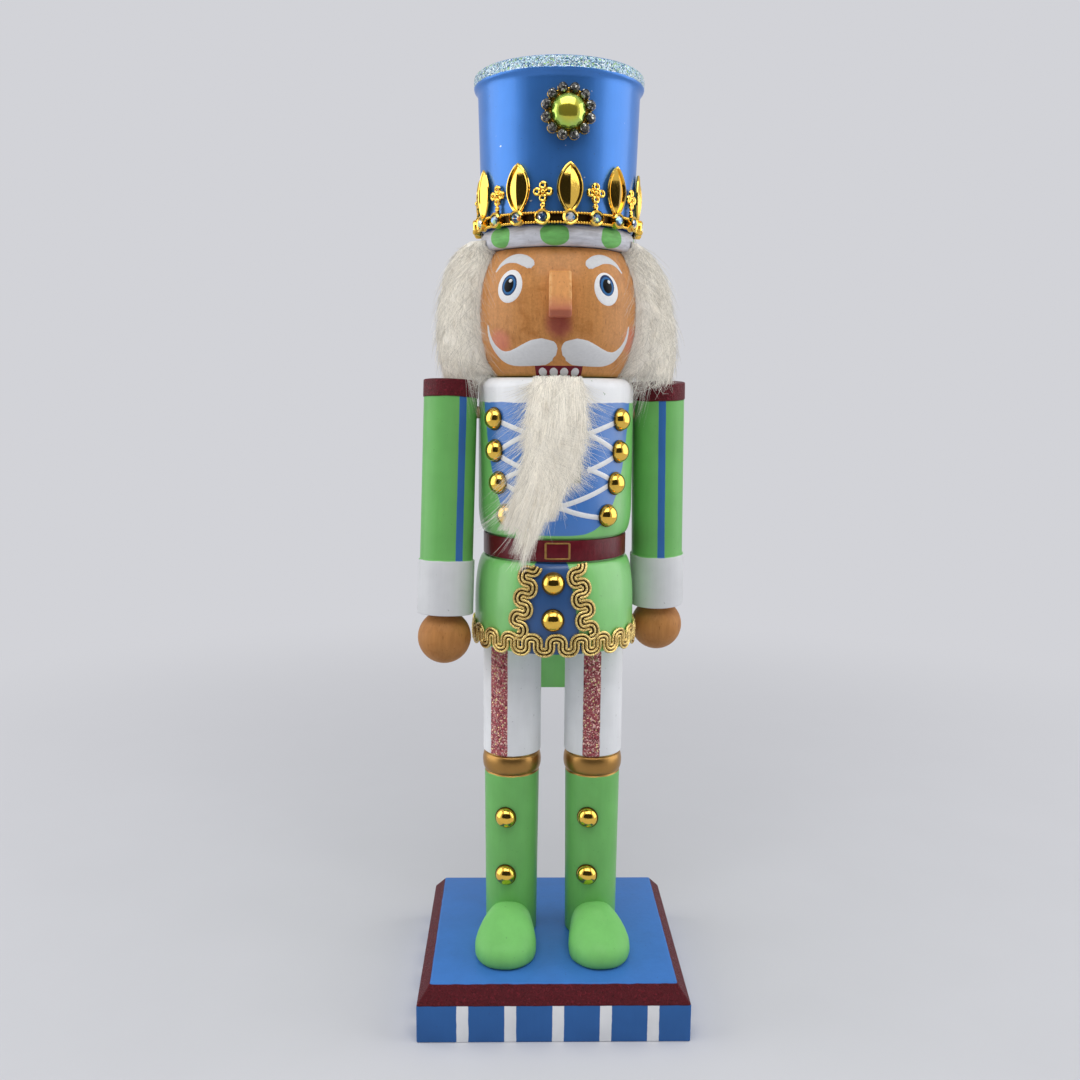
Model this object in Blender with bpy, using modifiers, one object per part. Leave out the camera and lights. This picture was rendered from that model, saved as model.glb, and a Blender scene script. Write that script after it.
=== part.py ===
"""Nutcracker figure: a turned wooden soldier on a block, whose jaw is worked by a lever at the back.

The block stands on the XY plane with the origin under its middle. The figure faces -Y, and its own
right side is at -X. Lengths are in metres and angles in radians.
"""
import math

import bmesh
import bpy
from mathutils import Matrix, Vector

for leftover in list(bpy.data.objects):
    bpy.data.objects.remove(leftover, do_unlink=True)

MM = 0.001
DEGREE = math.pi / 180

# Fits
gap = 0.3 * MM                  # glue line between neighbouring pieces
pin_play = 0.06 * MM            # running clearance around the jaw pin
slot_play = 0.4 * MM            # clearance on each side of the lever in its slot
arm_clearance = 0.6 * MM        # between each arm and the chest, and each hand and the hem braid
tail_clearance = 1.2 * MM       # between the hem braid and the lever's tail

# Smoothness of the turned pieces
body_steps = 36
limb_steps = 24
small_steps = 12
arc_steps = 4
hand_steps = 6
petal_steps = 6
foil_steps = 16
egg_meridians = 18
egg_rings = 12

# Base block
base_width = 110 * MM
base_depth = 103 * MM
base_side = 15.8 * MM
base_bevel_rise = 6.8 * MM
base_bevel_run = 5.4 * MM

# Legs and shoes
leg_spread = 17.5 * MM          # from the figure's middle to each leg's axis
foot_radius = 11.1 * MM
boot_radius = 11.7 * MM
boot_height = 73 * MM
knee_radius = 12.1 * MM
knee_height = 9 * MM
thigh_radius = 12.4 * MM
thigh_height = 49.6 * MM
shoe_half_width = 13.8 * MM
shoe_half_length = 20 * MM
shoe_height = 17 * MM
shoe_belly = 4 * MM             # height of the shoe's widest section
shoe_reach = 19 * MM            # from the leg's axis forward to the middle of the shoe
toe_out = 5 * DEGREE

# Body and belt
skirt_radius = 33.4 * MM
skirt_height = 36 * MM
skirt_round = 20 * MM           # height of the rounding at the top of the skirt
waist_radius = 28.4 * MM
waist_height = 10 * MM
waist_step = 1.2 * MM           # step from the waist out to the skirt and the chest
chest_radius = 32 * MM
chest_height = 63 * MM
chest_round = 12 * MM           # height of the rounding at the bottom of the chest
shoulder_round = 4.5 * MM
belt_height = 8.6 * MM
belt_thickness = 1.2 * MM

# Jaw lever and its pin
jaw_width = 17.2 * MM
jaw_face_height = 27.6 * MM
jaw_swing = 25 * DEGREE
jaw_lip = 5 * MM                # wall in front of the nut hollow
nut_hollow_length = 17 * MM
nut_hollow_width = 12 * MM
nut_hollow_depth = 6.5 * MM
pin_radius = 1.6 * MM
pin_drop = 26 * MM              # from the top of the chest down to the pin
pin_recess = 1.5 * MM           # from the side of the chest in to each end of the pin
lever_boss = 9 * MM             # wood below the pin
lever_fall = 16 * MM            # drop of the lever on its way to the back
lever_thickness = 8.5 * MM
lever_tail_reach = 33.8 * MM    # tail below the bottom of the skirt
slot_clearance = 0.5 * MM       # below the lever at the end of its swing

# Arms and hands
arm_radius = 10.9 * MM
arm_drop = 13.8 * MM            # from the top of the chest down to the shoulder dowel
arm_rise = 12.5 * MM            # arm above the shoulder dowel
cap_height = 7 * MM
cap_lip = 0.3 * MM
sleeve_length = 66.2 * MM
cuff_radius = 11.6 * MM
cuff_height = 22.3 * MM
hand_radius = 11 * MM
hand_height = 20.6 * MM
arm_swing = 4 * DEGREE          # right arm forward, left arm back
shoulder_turn = 8 * DEGREE      # right shoulder ahead of the body's middle, left one behind it

# Head, nose, hair and beard
head_height = 49 * MM
head_radius = 33.6 * MM
head_end_radius = 27 * MM
head_barrel_power = 2.4
head_steps = 8
nose_width = 8.5 * MM
nose_height = 17.4 * MM
nose_top_reach = 2.2 * MM
nose_tip_reach = 7.5 * MM
nose_drop = 9.5 * MM            # from the top of the head down to the nose
hair_radius = 51 * MM
hair_rise = 5 * MM              # hair above the top of the head
hair_front_angle = 72 * DEGREE
hair_crown_thickness = 4 * MM
hair_belly = 16 * MM            # from the hair's bottom up to its widest level
hair_tuck = 4 * MM              # how far the hair draws in below that
beard_half_width = 10.5 * MM
beard_half_depth = 5.2 * MM
beard_length = 68 * MM
beard_sweep = 12 * MM           # sideways sweep of the tip
beard_taper = 0.3               # share of its width that the beard loses on the way down

# Hat, band, crown trim and medallion
band_height = 7.8 * MM
band_radius = 31.1 * MM
band_round = 1.8 * MM
hat_height = 59.5 * MM
hat_foot_radius = 30.6 * MM
hat_neck_radius = 32.3 * MM     # just below the rim
rim_radius = 33.8 * MM
rim_height = 5 * MM
rim_round = 1.2 * MM
crown_band_height = 5.8 * MM
crown_thickness = 1.3 * MM
crown_motifs = 10
petal_width = 10 * MM
petal_height = 17.6 * MM
petal_sink = 0.8 * MM           # overlap of petals and stems with the crown's band
foil_radius = 2.6 * MM
foil_lobe = 0.9 * MM
foil_height = 10 * MM           # from the crown's band up to the middle of a quatrefoil
stem_width = 1.8 * MM
bezel_radius = 2.9 * MM
bezel_depth = 2.2 * MM
crown_turn = 6 * DEGREE
medallion_drop = 20.2 * MM      # from the top of the hat down to the medallion
medallion_turn = 4 * DEGREE
setting_radius = 9.2 * MM
setting_thickness = 1.6 * MM
setting_beads = 12
bead_radius = 1.9 * MM
bead_ring_radius = 8.5 * MM
medallion_radius = 6.4 * MM
medallion_height = 4.2 * MM

# Studs and braids
stud_radius = 4.6 * MM
stud_height = 3.6 * MM
chest_stud_angles = (51 * DEGREE, 50 * DEGREE, 46 * DEGREE, 38.5 * DEGREE)
chest_stud_first = 16.3 * MM    # from the top of the chest down to the first stud
chest_stud_pitch = 12.6 * MM
skirt_stud_pitch = 14.5 * MM
skirt_turn = -2.5 * DEGREE      # turn of the skirt's studs and braids about the figure
boot_stud_angle = -12 * DEGREE
boot_stud_first = 18 * MM       # from the top of the boot down to the first stud
boot_stud_pitch = 26 * MM
braid_thickness = 2.2 * MM
hem_braid_height = 10 * MM
hem_braid_drop = 1.1 * MM       # braid below the bottom of the skirt
front_braid_width = 9 * MM
front_braid_top_reach = 8.6 * MM
front_braid_foot_reach = 14.5 * MM

# Dowels
leg_dowel_radius = 3 * MM
neck_dowel_radius = 3 * MM
neck_dowel_spread = 18.5 * MM
hat_dowel_radius = 4 * MM
arm_dowel_radius = 2.5 * MM
hand_dowel_radius = 2.5 * MM
dowel_depth = 10 * MM           # how far a dowel goes into each piece

# Heights that follow, from the floor up
base_top = base_side + base_bevel_rise
leg_foot = base_top + gap
leg_height = boot_height + knee_height + thigh_height
body_bottom = leg_foot + leg_height + gap
waist_bottom = body_bottom + skirt_height
chest_bottom = waist_bottom + waist_height
chest_top = chest_bottom + chest_height
head_bottom = chest_top + gap
head_top = head_bottom + head_height
band_bottom = head_top + gap
band_top = band_bottom + band_height
hat_bottom = band_top + gap
hat_top = hat_bottom + hat_height
hem_braid_bottom = body_bottom - hem_braid_drop
hem_braid_top = hem_braid_bottom + hem_braid_height

# Places that follow
pin_height = chest_top - pin_drop
shoulder_height = chest_top - arm_drop
arm_spread = chest_radius + arm_clearance + cap_lip + arm_radius
jaw_front = math.sqrt(chest_radius ** 2 - (jaw_width / 2) ** 2)
braid_radius = skirt_radius + gap + braid_thickness
tail_front = max(braid_radius + tail_clearance, chest_radius + slot_clearance)
tail_back = tail_front + lever_thickness

SIDES = (("right", -1), ("left", 1))

parts = bpy.data.collections.new("nutcracker_figure")
cutters = bpy.data.collections.new("cutters")
bpy.context.scene.collection.children.link(parts)
bpy.context.scene.collection.children.link(cutters)

# Paints and finishes: colour, roughness, metallic
GREEN = ((0.22, 0.58, 0.17), 0.35, 0.0)
BLUE = ((0.05, 0.18, 0.52), 0.35, 0.0)
MAROON = ((0.11, 0.006, 0.012), 0.4, 0.0)
WHITE = ((0.68, 0.70, 0.73), 0.4, 0.0)
TAN = ((0.58, 0.26, 0.08), 0.4, 0.0)
GOLD = ((0.83, 0.55, 0.12), 0.2, 1.0)
THREAD = ((0.62, 0.40, 0.12), 0.45, 0.8)
FUR = ((0.80, 0.77, 0.68), 0.9, 0.0)
RAW_WOOD = ((0.60, 0.42, 0.24), 0.6, 0.0)
STEEL = ((0.55, 0.55, 0.56), 0.3, 1.0)


# Making objects

def finish(item, look):
    """Give a piece its own material and put it among the parts."""
    colour, roughness, metallic = look
    material = bpy.data.materials.new(item.name)
    material.use_nodes = True
    shader = material.node_tree.nodes["Principled BSDF"]
    shader.inputs["Base Color"].default_value = (*colour, 1)
    shader.inputs["Roughness"].default_value = roughness
    shader.inputs["Metallic"].default_value = metallic
    item.data.materials.clear()
    item.data.materials.append(material)
    parts.objects.link(item)
    return item


def as_cutter(item):
    """Keep an object as a cutter only."""
    item.hide_render = True
    item.display_type = "WIRE"
    cutters.objects.link(item)
    return item


def arc(centre, radii, start, end, steps=arc_steps):
    """Points of an elliptical arc as (radius, height) pairs."""
    points = []
    for step in range(steps + 1):
        angle = start + (end - start) * step / steps
        points.append((centre[0] + radii[0] * math.cos(angle), centre[1] + radii[1] * math.sin(angle)))
    return points


def turned(name, profile, steps, ring=False):
    """A turned piece from a profile that runs down its outer side."""
    mesh = bpy.data.meshes.new(name)
    count = len(profile)
    edges = [(index, (index + 1) % count) for index in range(count if ring else count - 1)]
    mesh.from_pydata([(radius, 0, height) for radius, height in profile], edges, [])
    item = bpy.data.objects.new(name, mesh)
    screw = item.modifiers.new("turn", "SCREW")
    screw.axis = "Z"
    screw.angle = 2 * math.pi
    screw.steps = steps
    screw.render_steps = steps
    screw.use_merge_vertices = True
    screw.merge_threshold = 0.01 * MM
    screw.use_smooth_shade = True
    return item


def from_bmesh(name, shape, smooth=False):
    """An object from a bmesh, which is freed."""
    mesh = bpy.data.meshes.new(name)
    shape.to_mesh(mesh)
    shape.free()
    if smooth:
        mesh.shade_smooth()
    return bpy.data.objects.new(name, mesh)


def box(name, low, high):
    """A box between two corners."""
    low = Vector(low)
    high = Vector(high)
    shape = bmesh.new()
    place = Matrix.Translation((low + high) / 2) @ Matrix.Diagonal((*(high - low), 1))
    bmesh.ops.create_cube(shape, size=1, matrix=place)
    return from_bmesh(name, shape)


def rod(name, radius, start, end, steps=small_steps):
    """A round rod between two points."""
    start = Vector(start)
    end = Vector(end)
    turn = (end - start).to_track_quat("Z", "Y").to_matrix().to_4x4()
    shape = bmesh.new()
    bmesh.ops.create_cone(
        shape, cap_ends=True, segments=steps, radius1=radius, radius2=radius,
        depth=(end - start).length, matrix=Matrix.Translation((start + end) / 2) @ turn)
    return from_bmesh(name, shape, smooth=True)


def egg(half):
    """A ball stretched to three half sizes, as a bmesh."""
    shape = bmesh.new()
    stretch = Matrix.Diagonal((*half, 1))
    bmesh.ops.create_uvsphere(shape, u_segments=egg_meridians, v_segments=egg_rings, radius=1, matrix=stretch)
    return shape


def plate(name, outline, thickness, place=Matrix.Identity(4)):
    """A flat outline in the local XY plane, as thick as given, set by a matrix."""
    curve = bpy.data.curves.new(name, "CURVE")
    curve.dimensions = "2D"
    curve.fill_mode = "BOTH"
    curve.extrude = thickness / 2
    spline = curve.splines.new("POLY")
    spline.points.add(len(outline) - 1)
    for point, (across, up) in zip(spline.points, outline):
        point.co = (across, up, 0, 1)
    spline.use_cyclic_u = True
    drawn = bpy.data.objects.new(name, curve)
    cutters.objects.link(drawn)
    mesh = bpy.data.meshes.new_from_object(drawn.evaluated_get(bpy.context.evaluated_depsgraph_get()))
    bpy.data.objects.remove(drawn)
    shape = bmesh.new()
    shape.from_mesh(mesh)
    bpy.data.meshes.remove(mesh)
    bmesh.ops.remove_doubles(shape, verts=shape.verts, dist=0.001 * MM)
    bmesh.ops.recalc_face_normals(shape, faces=shape.faces)
    bmesh.ops.transform(shape, matrix=place, verts=shape.verts)
    return from_bmesh(name, shape)


def cut(target, cutter, operation="DIFFERENCE"):
    """Boolean one object with another."""
    modifier = target.modifiers.new(cutter.name, "BOOLEAN")
    modifier.operation = operation
    modifier.solver = "EXACT"
    modifier.object = cutter


def dowel(name, radius, start, end, hosts, parent=None):
    """A glued dowel, and a hole for it with the glue gap in each piece that it joins."""
    start = Vector(start)
    end = Vector(end)
    along = (end - start).normalized() * gap
    peg = finish(rod(name, radius, start, end), RAW_WOOD)
    drill = as_cutter(rod(name + "_drill", radius + gap, start - along, end + along))
    peg.parent = parent
    drill.parent = parent
    for host in hosts:
        cut(host, drill)


def radius_at(profile, height):
    """Radius of a profile at a height, and the lean of its surface there."""
    for (upper_radius, upper), (lower_radius, lower) in zip(profile, profile[1:]):
        if lower <= height <= upper and upper - lower > gap:
            slope = (lower_radius - upper_radius) / (upper - lower)
            return lower_radius - slope * (height - lower), math.atan(slope)
    raise ValueError("height outside the profile")


def widened(profile, amount):
    """A profile moved out by an amount, for a clearance cutter."""
    return [(radius + amount if radius > 0 else 0, height) for radius, height in profile]


def empty(name, location, rotation=(0, 0, 0)):
    """An empty that carries pieces."""
    carrier = bpy.data.objects.new(name, None)
    carrier.location = location
    carrier.rotation_euler = rotation
    parts.objects.link(carrier)
    return carrier


# Base block

def make_base():
    shape = bmesh.new()
    size = Matrix.Diagonal((base_width, base_depth, base_side, 1))
    bmesh.ops.create_cube(shape, size=1, matrix=Matrix.Translation((0, 0, base_side / 2)) @ size)
    shape.faces.ensure_lookup_table()
    top = max(shape.faces, key=lambda face: face.calc_center_median().z)
    raised = bmesh.ops.extrude_discrete_faces(shape, faces=[top])["faces"][0]
    bmesh.ops.translate(shape, verts=raised.verts, vec=(0, 0, base_bevel_rise))
    shrink = (1 - 2 * base_bevel_run / base_width, 1 - 2 * base_bevel_run / base_depth, 1)
    bmesh.ops.scale(shape, verts=raised.verts, vec=shrink)
    return finish(from_bmesh("base", shape), BLUE)


# Legs, with heights counted from the foot

def leg_profile():
    knee_top = boot_height + knee_height
    swell = (knee_radius - boot_radius, knee_height / 2)
    knee = arc((boot_radius, boot_height + knee_height / 2), swell, math.pi / 2, -math.pi / 2)
    thigh = [(0, leg_height), (thigh_radius, leg_height), (thigh_radius, knee_top)]
    return thigh + knee + [(foot_radius, 0), (0, 0)]


def make_leg(side, sign, base, body):
    axis = sign * leg_spread
    leg = finish(turned(side + "_leg", leg_profile(), limb_steps), GREEN)
    leg.location = (axis, 0, leg_foot)
    dowel(side + "_base_dowel", leg_dowel_radius, (axis, 0, base_top - dowel_depth),
          (axis, 0, leg_foot + dowel_depth), (base, leg))
    dowel(side + "_hip_dowel", leg_dowel_radius, (axis, 0, leg_foot + leg_height - dowel_depth),
          (axis, 0, body_bottom + dowel_depth), (leg, body))
    make_shoe(side, sign)
    for index in range(2):
        height = boot_height - boot_stud_first - index * boot_stud_pitch
        name = f"{side}_boot_stud_{index + 1}"
        make_stud(name, leg_profile(), height, boot_stud_angle, (axis, 0, leg_foot))


def make_shoe(side, sign):
    axis = sign * leg_spread
    shape = egg((shoe_half_width, shoe_half_length, shoe_height - shoe_belly))
    bmesh.ops.translate(shape, verts=shape.verts, vec=(0, -shoe_reach, shoe_belly))
    shoe = finish(from_bmesh(side + "_shoe", shape, smooth=True), GREEN)
    shoe.location = (axis, 0, leg_foot)
    shoe.rotation_euler.z = sign * toe_out
    boot_room = boot_radius + gap
    boot = rod(side + "_boot_room", boot_room, (axis, 0, 0), (axis, 0, leg_foot + boot_height), limb_steps)
    cut(shoe, as_cutter(boot))
    reach = 2 * shoe_half_length
    floor_low = (axis - reach, -shoe_reach - reach, -reach)
    floor_high = (axis + reach, reach, leg_foot)
    cut(shoe, as_cutter(box(side + "_shoe_floor", floor_low, floor_high)))


# Body, with the slot for the lever

def body_profile():
    edge = waist_radius + waist_step
    shoulder_centre = (chest_radius - shoulder_round, chest_top - shoulder_round)
    shoulder = arc(shoulder_centre, (shoulder_round, shoulder_round), math.pi / 2, 0)
    chest = arc((edge, chest_bottom + chest_round), (chest_radius - edge, chest_round), 0, -math.pi / 2)
    skirt = arc((edge, waist_bottom - skirt_round), (skirt_radius - edge, skirt_round), math.pi / 2, 0)
    waist = [(waist_radius, chest_bottom), (waist_radius, waist_bottom)]
    foot = [(skirt_radius, body_bottom), (0, body_bottom)]
    return [(0, chest_top), *shoulder, *chest, *waist, *skirt, *foot]


def side_plate(name, outline, width):
    """A plate whose outline lies in the YZ plane around the jaw pin."""
    lie = Matrix(((0, 0, 1, 0), (1, 0, 0, 0), (0, 1, 0, 0), (0, 0, 0, 1)))
    return plate(name, outline, width, lie)


def lowest_swung_corner():
    """How far below the pin the jaw's lower front corner comes at the end of its swing."""
    corner_drop = jaw_face_height - pin_drop
    return jaw_front * math.sin(jaw_swing) + corner_drop * math.cos(jaw_swing)


def make_body():
    body = finish(turned("body", body_profile(), body_steps), GREEN)
    floor = -max(lowest_swung_corner(), lever_boss * math.sqrt(2)) - slot_clearance
    past = 2 * gap + braid_thickness
    front = -chest_radius - past
    back = max(chest_radius, skirt_radius) + past
    back_floor = min(-lever_boss - lever_fall - slot_clearance, floor)
    ceiling = pin_drop + past
    outline = [(front, ceiling), (front, floor), (lever_boss, floor), (back, back_floor), (back, ceiling)]
    slot = as_cutter(side_plate("jaw_slot", outline, jaw_width + 2 * slot_play))
    slot.location.z = pin_height
    cut(body, slot)
    return body


def make_belt():
    inner = waist_radius + gap
    outer = inner + belt_thickness
    middle = (waist_bottom + chest_bottom) / 2
    top = middle + belt_height / 2
    bottom = middle - belt_height / 2
    profile = [(inner, top), (outer, top), (outer, bottom), (inner, bottom)]
    finish(turned("belt", profile, body_steps, ring=True), MAROON)


# Jaw lever, which turns on a pin across the body

def lever_outline():
    tail_end = body_bottom - lever_tail_reach - pin_height
    corner_drop = jaw_face_height - pin_drop
    bend = lever_thickness / 2
    return [
        (-jaw_front, pin_drop), (-jaw_front, -corner_drop), (-lever_boss, -lever_boss),
        (lever_boss / 2, -lever_boss), (tail_front, -lever_boss - lever_fall), (tail_front, tail_end),
        (tail_back, tail_end), (tail_back, -lever_fall + bend), (tail_back - bend, -bend),
        (lever_boss, lever_boss + bend), (0, pin_drop)]


def hole_radius(radius, play, steps):
    """Corner radius of a many-sided hole whose flats clear a round pin by the play."""
    return (radius + play) / math.cos(math.pi / steps)


def make_jaw(body):
    carrier = empty("jaw_axis", (0, 0, pin_height))
    lever = finish(side_plate("jaw_lever", lever_outline(), jaw_width), GREEN)
    lever.parent = carrier

    steps = limb_steps
    reach = chest_radius + jaw_width
    bore_radius = hole_radius(pin_radius, pin_play, steps)
    bore = as_cutter(rod("pin_bore", bore_radius, (-reach, 0, pin_height), (reach, 0, pin_height), steps))
    cut(lever, bore)
    cut(body, bore)
    pin_end = chest_radius - pin_recess
    finish(rod("jaw_pin", pin_radius, (-pin_end, 0, pin_height), (pin_end, 0, pin_height), steps), STEEL)

    hollow_front = -jaw_front + jaw_lip
    hollow_low = (-nut_hollow_width / 2, hollow_front, chest_top - nut_hollow_depth)
    hollow_high = (nut_hollow_width / 2, hollow_front + nut_hollow_length, chest_top + nut_hollow_depth)
    cut(lever, as_cutter(box("nut_hollow", hollow_low, hollow_high)))
    make_beard(carrier)


def make_beard(carrier):
    shape = egg((beard_half_width, beard_half_depth, beard_length / 2))
    for vertex in shape.verts:
        level = 2 * vertex.co.z / beard_length
        vertex.co.z *= 2 - abs(level)
        fall = 0.5 - vertex.co.z / beard_length
        vertex.co.x *= 1 - beard_taper * fall
        vertex.co.x -= beard_sweep * fall ** 2
    beard = finish(from_bmesh("beard", shape, smooth=True), FUR)
    beard.parent = carrier
    beard.location = (0, -chest_radius - gap - beard_half_depth, pin_drop - beard_length / 2)


# Arms and hands, with heights counted from the shoulder dowel

def arm_splay(hand_drop):
    """Sideways lean at which a hand so far below its shoulder clears the hem braid."""
    apart = braid_radius + arm_clearance + hand_radius
    ahead = hand_drop * math.sin(arm_swing)
    sideways = math.sqrt(apart ** 2 - ahead ** 2) - arm_spread
    return math.atan2(sideways, hand_drop)


def make_arm(side, sign, body, shoulders):
    cap_radius = arm_radius + cap_lip
    cap_bottom = arm_rise - cap_height
    cuff_top = cap_bottom - sleeve_length
    cuff_bottom = cuff_top - cuff_height
    hand_top = cuff_bottom - gap
    hand_middle = hand_top - hand_height + hand_radius
    lean = (sign * arm_swing, -sign * arm_splay(-hand_middle), 0)
    shoulder = empty(side + "_shoulder", (sign * arm_spread, 0, 0), lean)
    shoulder.parent = shoulders
    cap = [(0, arm_rise), (arm_radius, arm_rise), (cap_radius, arm_rise - cap_lip), (cap_radius, cap_bottom)]
    sleeve = [(arm_radius, cap_bottom), (arm_radius, cuff_top)]
    cuff = [(cuff_radius, cuff_top), (cuff_radius, cuff_bottom), (0, cuff_bottom)]
    arm = finish(turned(side + "_arm", cap + sleeve + cuff, limb_steps), GREEN)
    arm.parent = shoulder

    rise = math.asin((hand_top - hand_middle) / hand_radius)
    ball = arc((0, hand_middle), (hand_radius, hand_radius), rise, -math.pi / 2, hand_steps)
    ball[-1] = (0, hand_middle - hand_radius)
    hand = finish(turned(side + "_hand", [(0, hand_top), *ball], limb_steps), TAN)
    hand.parent = shoulder

    dowel(side + "_hand_dowel", hand_dowel_radius, (0, 0, cuff_bottom + dowel_depth),
          (0, 0, hand_top - dowel_depth), (arm, hand), shoulder)
    root = sign * (chest_radius - arm_spread - dowel_depth)
    dowel(side + "_arm_dowel", arm_dowel_radius, (root, 0, 0), (0, 0, 0), (arm, body), shoulder)


# Head, nose and hair

def head_profile():
    side = []
    for step in range(head_steps + 1):
        share = step / head_steps
        bulge = 1 - abs(2 * share - 1) ** head_barrel_power
        radius = head_end_radius + (head_radius - head_end_radius) * bulge
        side.append((radius, head_top - head_height * share))
    return [(0, head_top), *side, (0, head_bottom)]


def make_head(body):
    head = finish(turned("head", head_profile(), body_steps), TAN)
    for side, sign in SIDES:
        axis = sign * neck_dowel_spread
        dowel(side + "_neck_dowel", neck_dowel_radius, (axis, 0, chest_top - dowel_depth),
              (axis, 0, head_bottom + dowel_depth), (body, head))
    return head


def make_nose():
    top = head_top - nose_drop
    bottom = top - nose_height
    top_front = -radius_at(head_profile(), top)[0] - nose_top_reach
    tip_front = -radius_at(head_profile(), bottom)[0] - nose_tip_reach
    chamfer = nose_top_reach
    tip = [(tip_front, bottom + chamfer), (tip_front + chamfer, bottom)]
    outline = [(0, top), (top_front, top), *tip, (0, bottom)]
    nose = finish(side_plate("nose", outline, nose_width), TAN)
    cut(nose, as_cutter(turned("head_room", widened(head_profile(), gap), body_steps)))


def make_hair():
    arm_crest = arm_rise * math.cos(arm_swing) + (arm_radius + cap_lip) * math.sin(arm_swing)
    bottom = max(shoulder_height + arm_crest, chest_top) + gap
    top = head_top + hair_rise
    inner_top = max(band_radius, head_end_radius) + gap
    belly = bottom + hair_belly
    thin = inner_top + hair_crown_thickness
    swell = arc((thin, belly), (hair_radius - thin, top - belly), math.pi / 2, 0, 2 * arc_steps)
    tuck = arc((hair_radius - hair_tuck, belly), (hair_tuck, hair_belly), 0, -math.pi / 2)
    head_room = widened(head_profile(), gap)[1:-1]
    lining = [point for point in reversed(head_room) if bottom + gap < point[1] < head_top - gap]
    inner_foot = radius_at(head_profile(), bottom + gap)[0] + gap
    profile = [(inner_top, top), *swell, *tuck[1:], (inner_foot, bottom), *lining, (inner_top, head_top)]
    hair = finish(turned("hair", profile, body_steps, ring=True), FUR)
    reach = 2 * hair_radius
    across = reach * math.sin(hair_front_angle)
    ahead = -reach * math.cos(hair_front_angle)
    face = [(0, 0), (across, ahead), (across, -reach), (-across, -reach), (-across, ahead)]
    opening = as_cutter(plate("face_opening", face, 4 * (top - bottom), Matrix.Translation((0, 0, belly))))
    cut(hair, opening)


# Hat band, hat and their trim

def hat_profile():
    rim_bottom = hat_top - rim_height
    rim = [(rim_radius - rim_round, hat_top), (rim_radius, hat_top - rim_round), (rim_radius, rim_bottom)]
    side = [(hat_neck_radius, rim_bottom - rim_round), (hat_foot_radius, hat_bottom)]
    return [(0, hat_top), *rim, *side, (0, hat_bottom)]


def make_hat(head):
    middle = (band_bottom + band_top) / 2
    roll = arc((band_radius - band_round, middle), (band_round, band_height / 2), math.pi / 2, -math.pi / 2)
    band = finish(turned("hat_band", [(0, band_top), *roll, (0, band_bottom)], body_steps), WHITE)
    hat = finish(turned("hat", hat_profile(), body_steps), BLUE)
    dowel("hat_dowel", hat_dowel_radius, (0, 0, head_top - dowel_depth), (0, 0, hat_bottom + dowel_depth),
          (head, band, hat))


def around_crown(name, motif, count, start, radius):
    """Copies of a motif around the hat; the motif lies in the XY plane, with Y up and +Z outward."""
    shape = bmesh.new()
    for index in range(count):
        turn = Matrix.Rotation(start + index * 2 * math.pi / count, 4, "Z")
        stand = Matrix.Rotation(math.pi / 2, 4, "X")
        copy = motif.copy()
        copy.transform(turn @ Matrix.Translation((0, -radius, 0)) @ stand)
        shape.from_mesh(copy)
        bpy.data.meshes.remove(copy)
    return as_cutter(from_bmesh(name, shape))


def petal_outline():
    """A pointed leaf that stands on its lower tip."""
    right = []
    for step in range(petal_steps):
        share = step / petal_steps
        right.append((petal_width / 2 * math.sin(math.pi * share), petal_height * share))
    left = [(-across, petal_height - up) for across, up in right]
    return right + left


def quatrefoil_outline():
    """A four-lobed flower on a stem."""
    half_stem = stem_width / 2
    outline = [(-half_stem, 0), (half_stem, 0)]
    for step in range(1, foil_steps):
        angle = -math.pi / 2 + 2 * math.pi * step / foil_steps
        radius = foil_radius + foil_lobe * math.cos(4 * angle)
        outline.append((radius * math.cos(angle), foil_height + radius * math.sin(angle)))
    return outline


def make_crown():
    foot = hat_bottom + gap
    inner = radius_at(hat_profile(), foot + petal_height)[0] + gap
    outer = inner + crown_thickness
    band_top_height = foot + crown_band_height
    profile = [(inner, band_top_height), (outer, band_top_height), (outer, foot), (inner, foot)]
    crown = finish(turned("crown_trim", profile, body_steps, ring=True), GOLD)
    half_turn = math.pi / crown_motifs
    middle = (inner + outer) / 2
    rise = Matrix.Translation((0, band_top_height - petal_sink, 0))
    lift = Matrix.Translation((0, foot + crown_band_height / 2, 0))

    petal = plate("petal", petal_outline(), crown_thickness, rise).data
    foil = plate("quatrefoil", quatrefoil_outline(), crown_thickness, rise).data
    bezel = rod("bezel", bezel_radius, (0, 0, 0), (0, 0, bezel_depth), small_steps).data
    bezel.transform(lift)
    cut(crown, around_crown("petals", petal, crown_motifs, crown_turn, middle), "UNION")
    cut(crown, around_crown("quatrefoils", foil, crown_motifs, crown_turn + half_turn, middle), "UNION")
    cut(crown, around_crown("bezels", bezel, 2 * crown_motifs, crown_turn, middle), "UNION")


def make_medallion():
    height = hat_top - medallion_drop
    hat_front = radius_at(hat_profile(), height)[0]
    front = -hat_front - gap - setting_thickness
    back = -hat_front + setting_radius / 2
    setting = rod("medallion_setting", setting_radius, (0, back, height), (0, front, height), limb_steps)
    finish(setting, GOLD)
    setting.rotation_euler.z = medallion_turn
    shape = bmesh.new()
    for index in range(setting_beads):
        angle = index * 2 * math.pi / setting_beads
        spot = (bead_ring_radius * math.cos(angle), front, height + bead_ring_radius * math.sin(angle))
        bmesh.ops.create_icosphere(shape, subdivisions=1, radius=bead_radius, matrix=Matrix.Translation(spot))
    beads = as_cutter(from_bmesh("beads", shape))
    beads.rotation_euler.z = medallion_turn
    cut(setting, beads, "UNION")
    cut(setting, as_cutter(turned("hat_room", widened(hat_profile(), gap), body_steps)))

    dome = turned("medallion_dome", dome_profile(medallion_radius, medallion_height), limb_steps)
    finish(dome, GOLD)
    dome.location = Matrix.Rotation(medallion_turn, 3, "Z") @ Vector((0, front - gap, height))
    dome.rotation_euler = (math.pi / 2, 0, medallion_turn)


# Studs and braids

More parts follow.
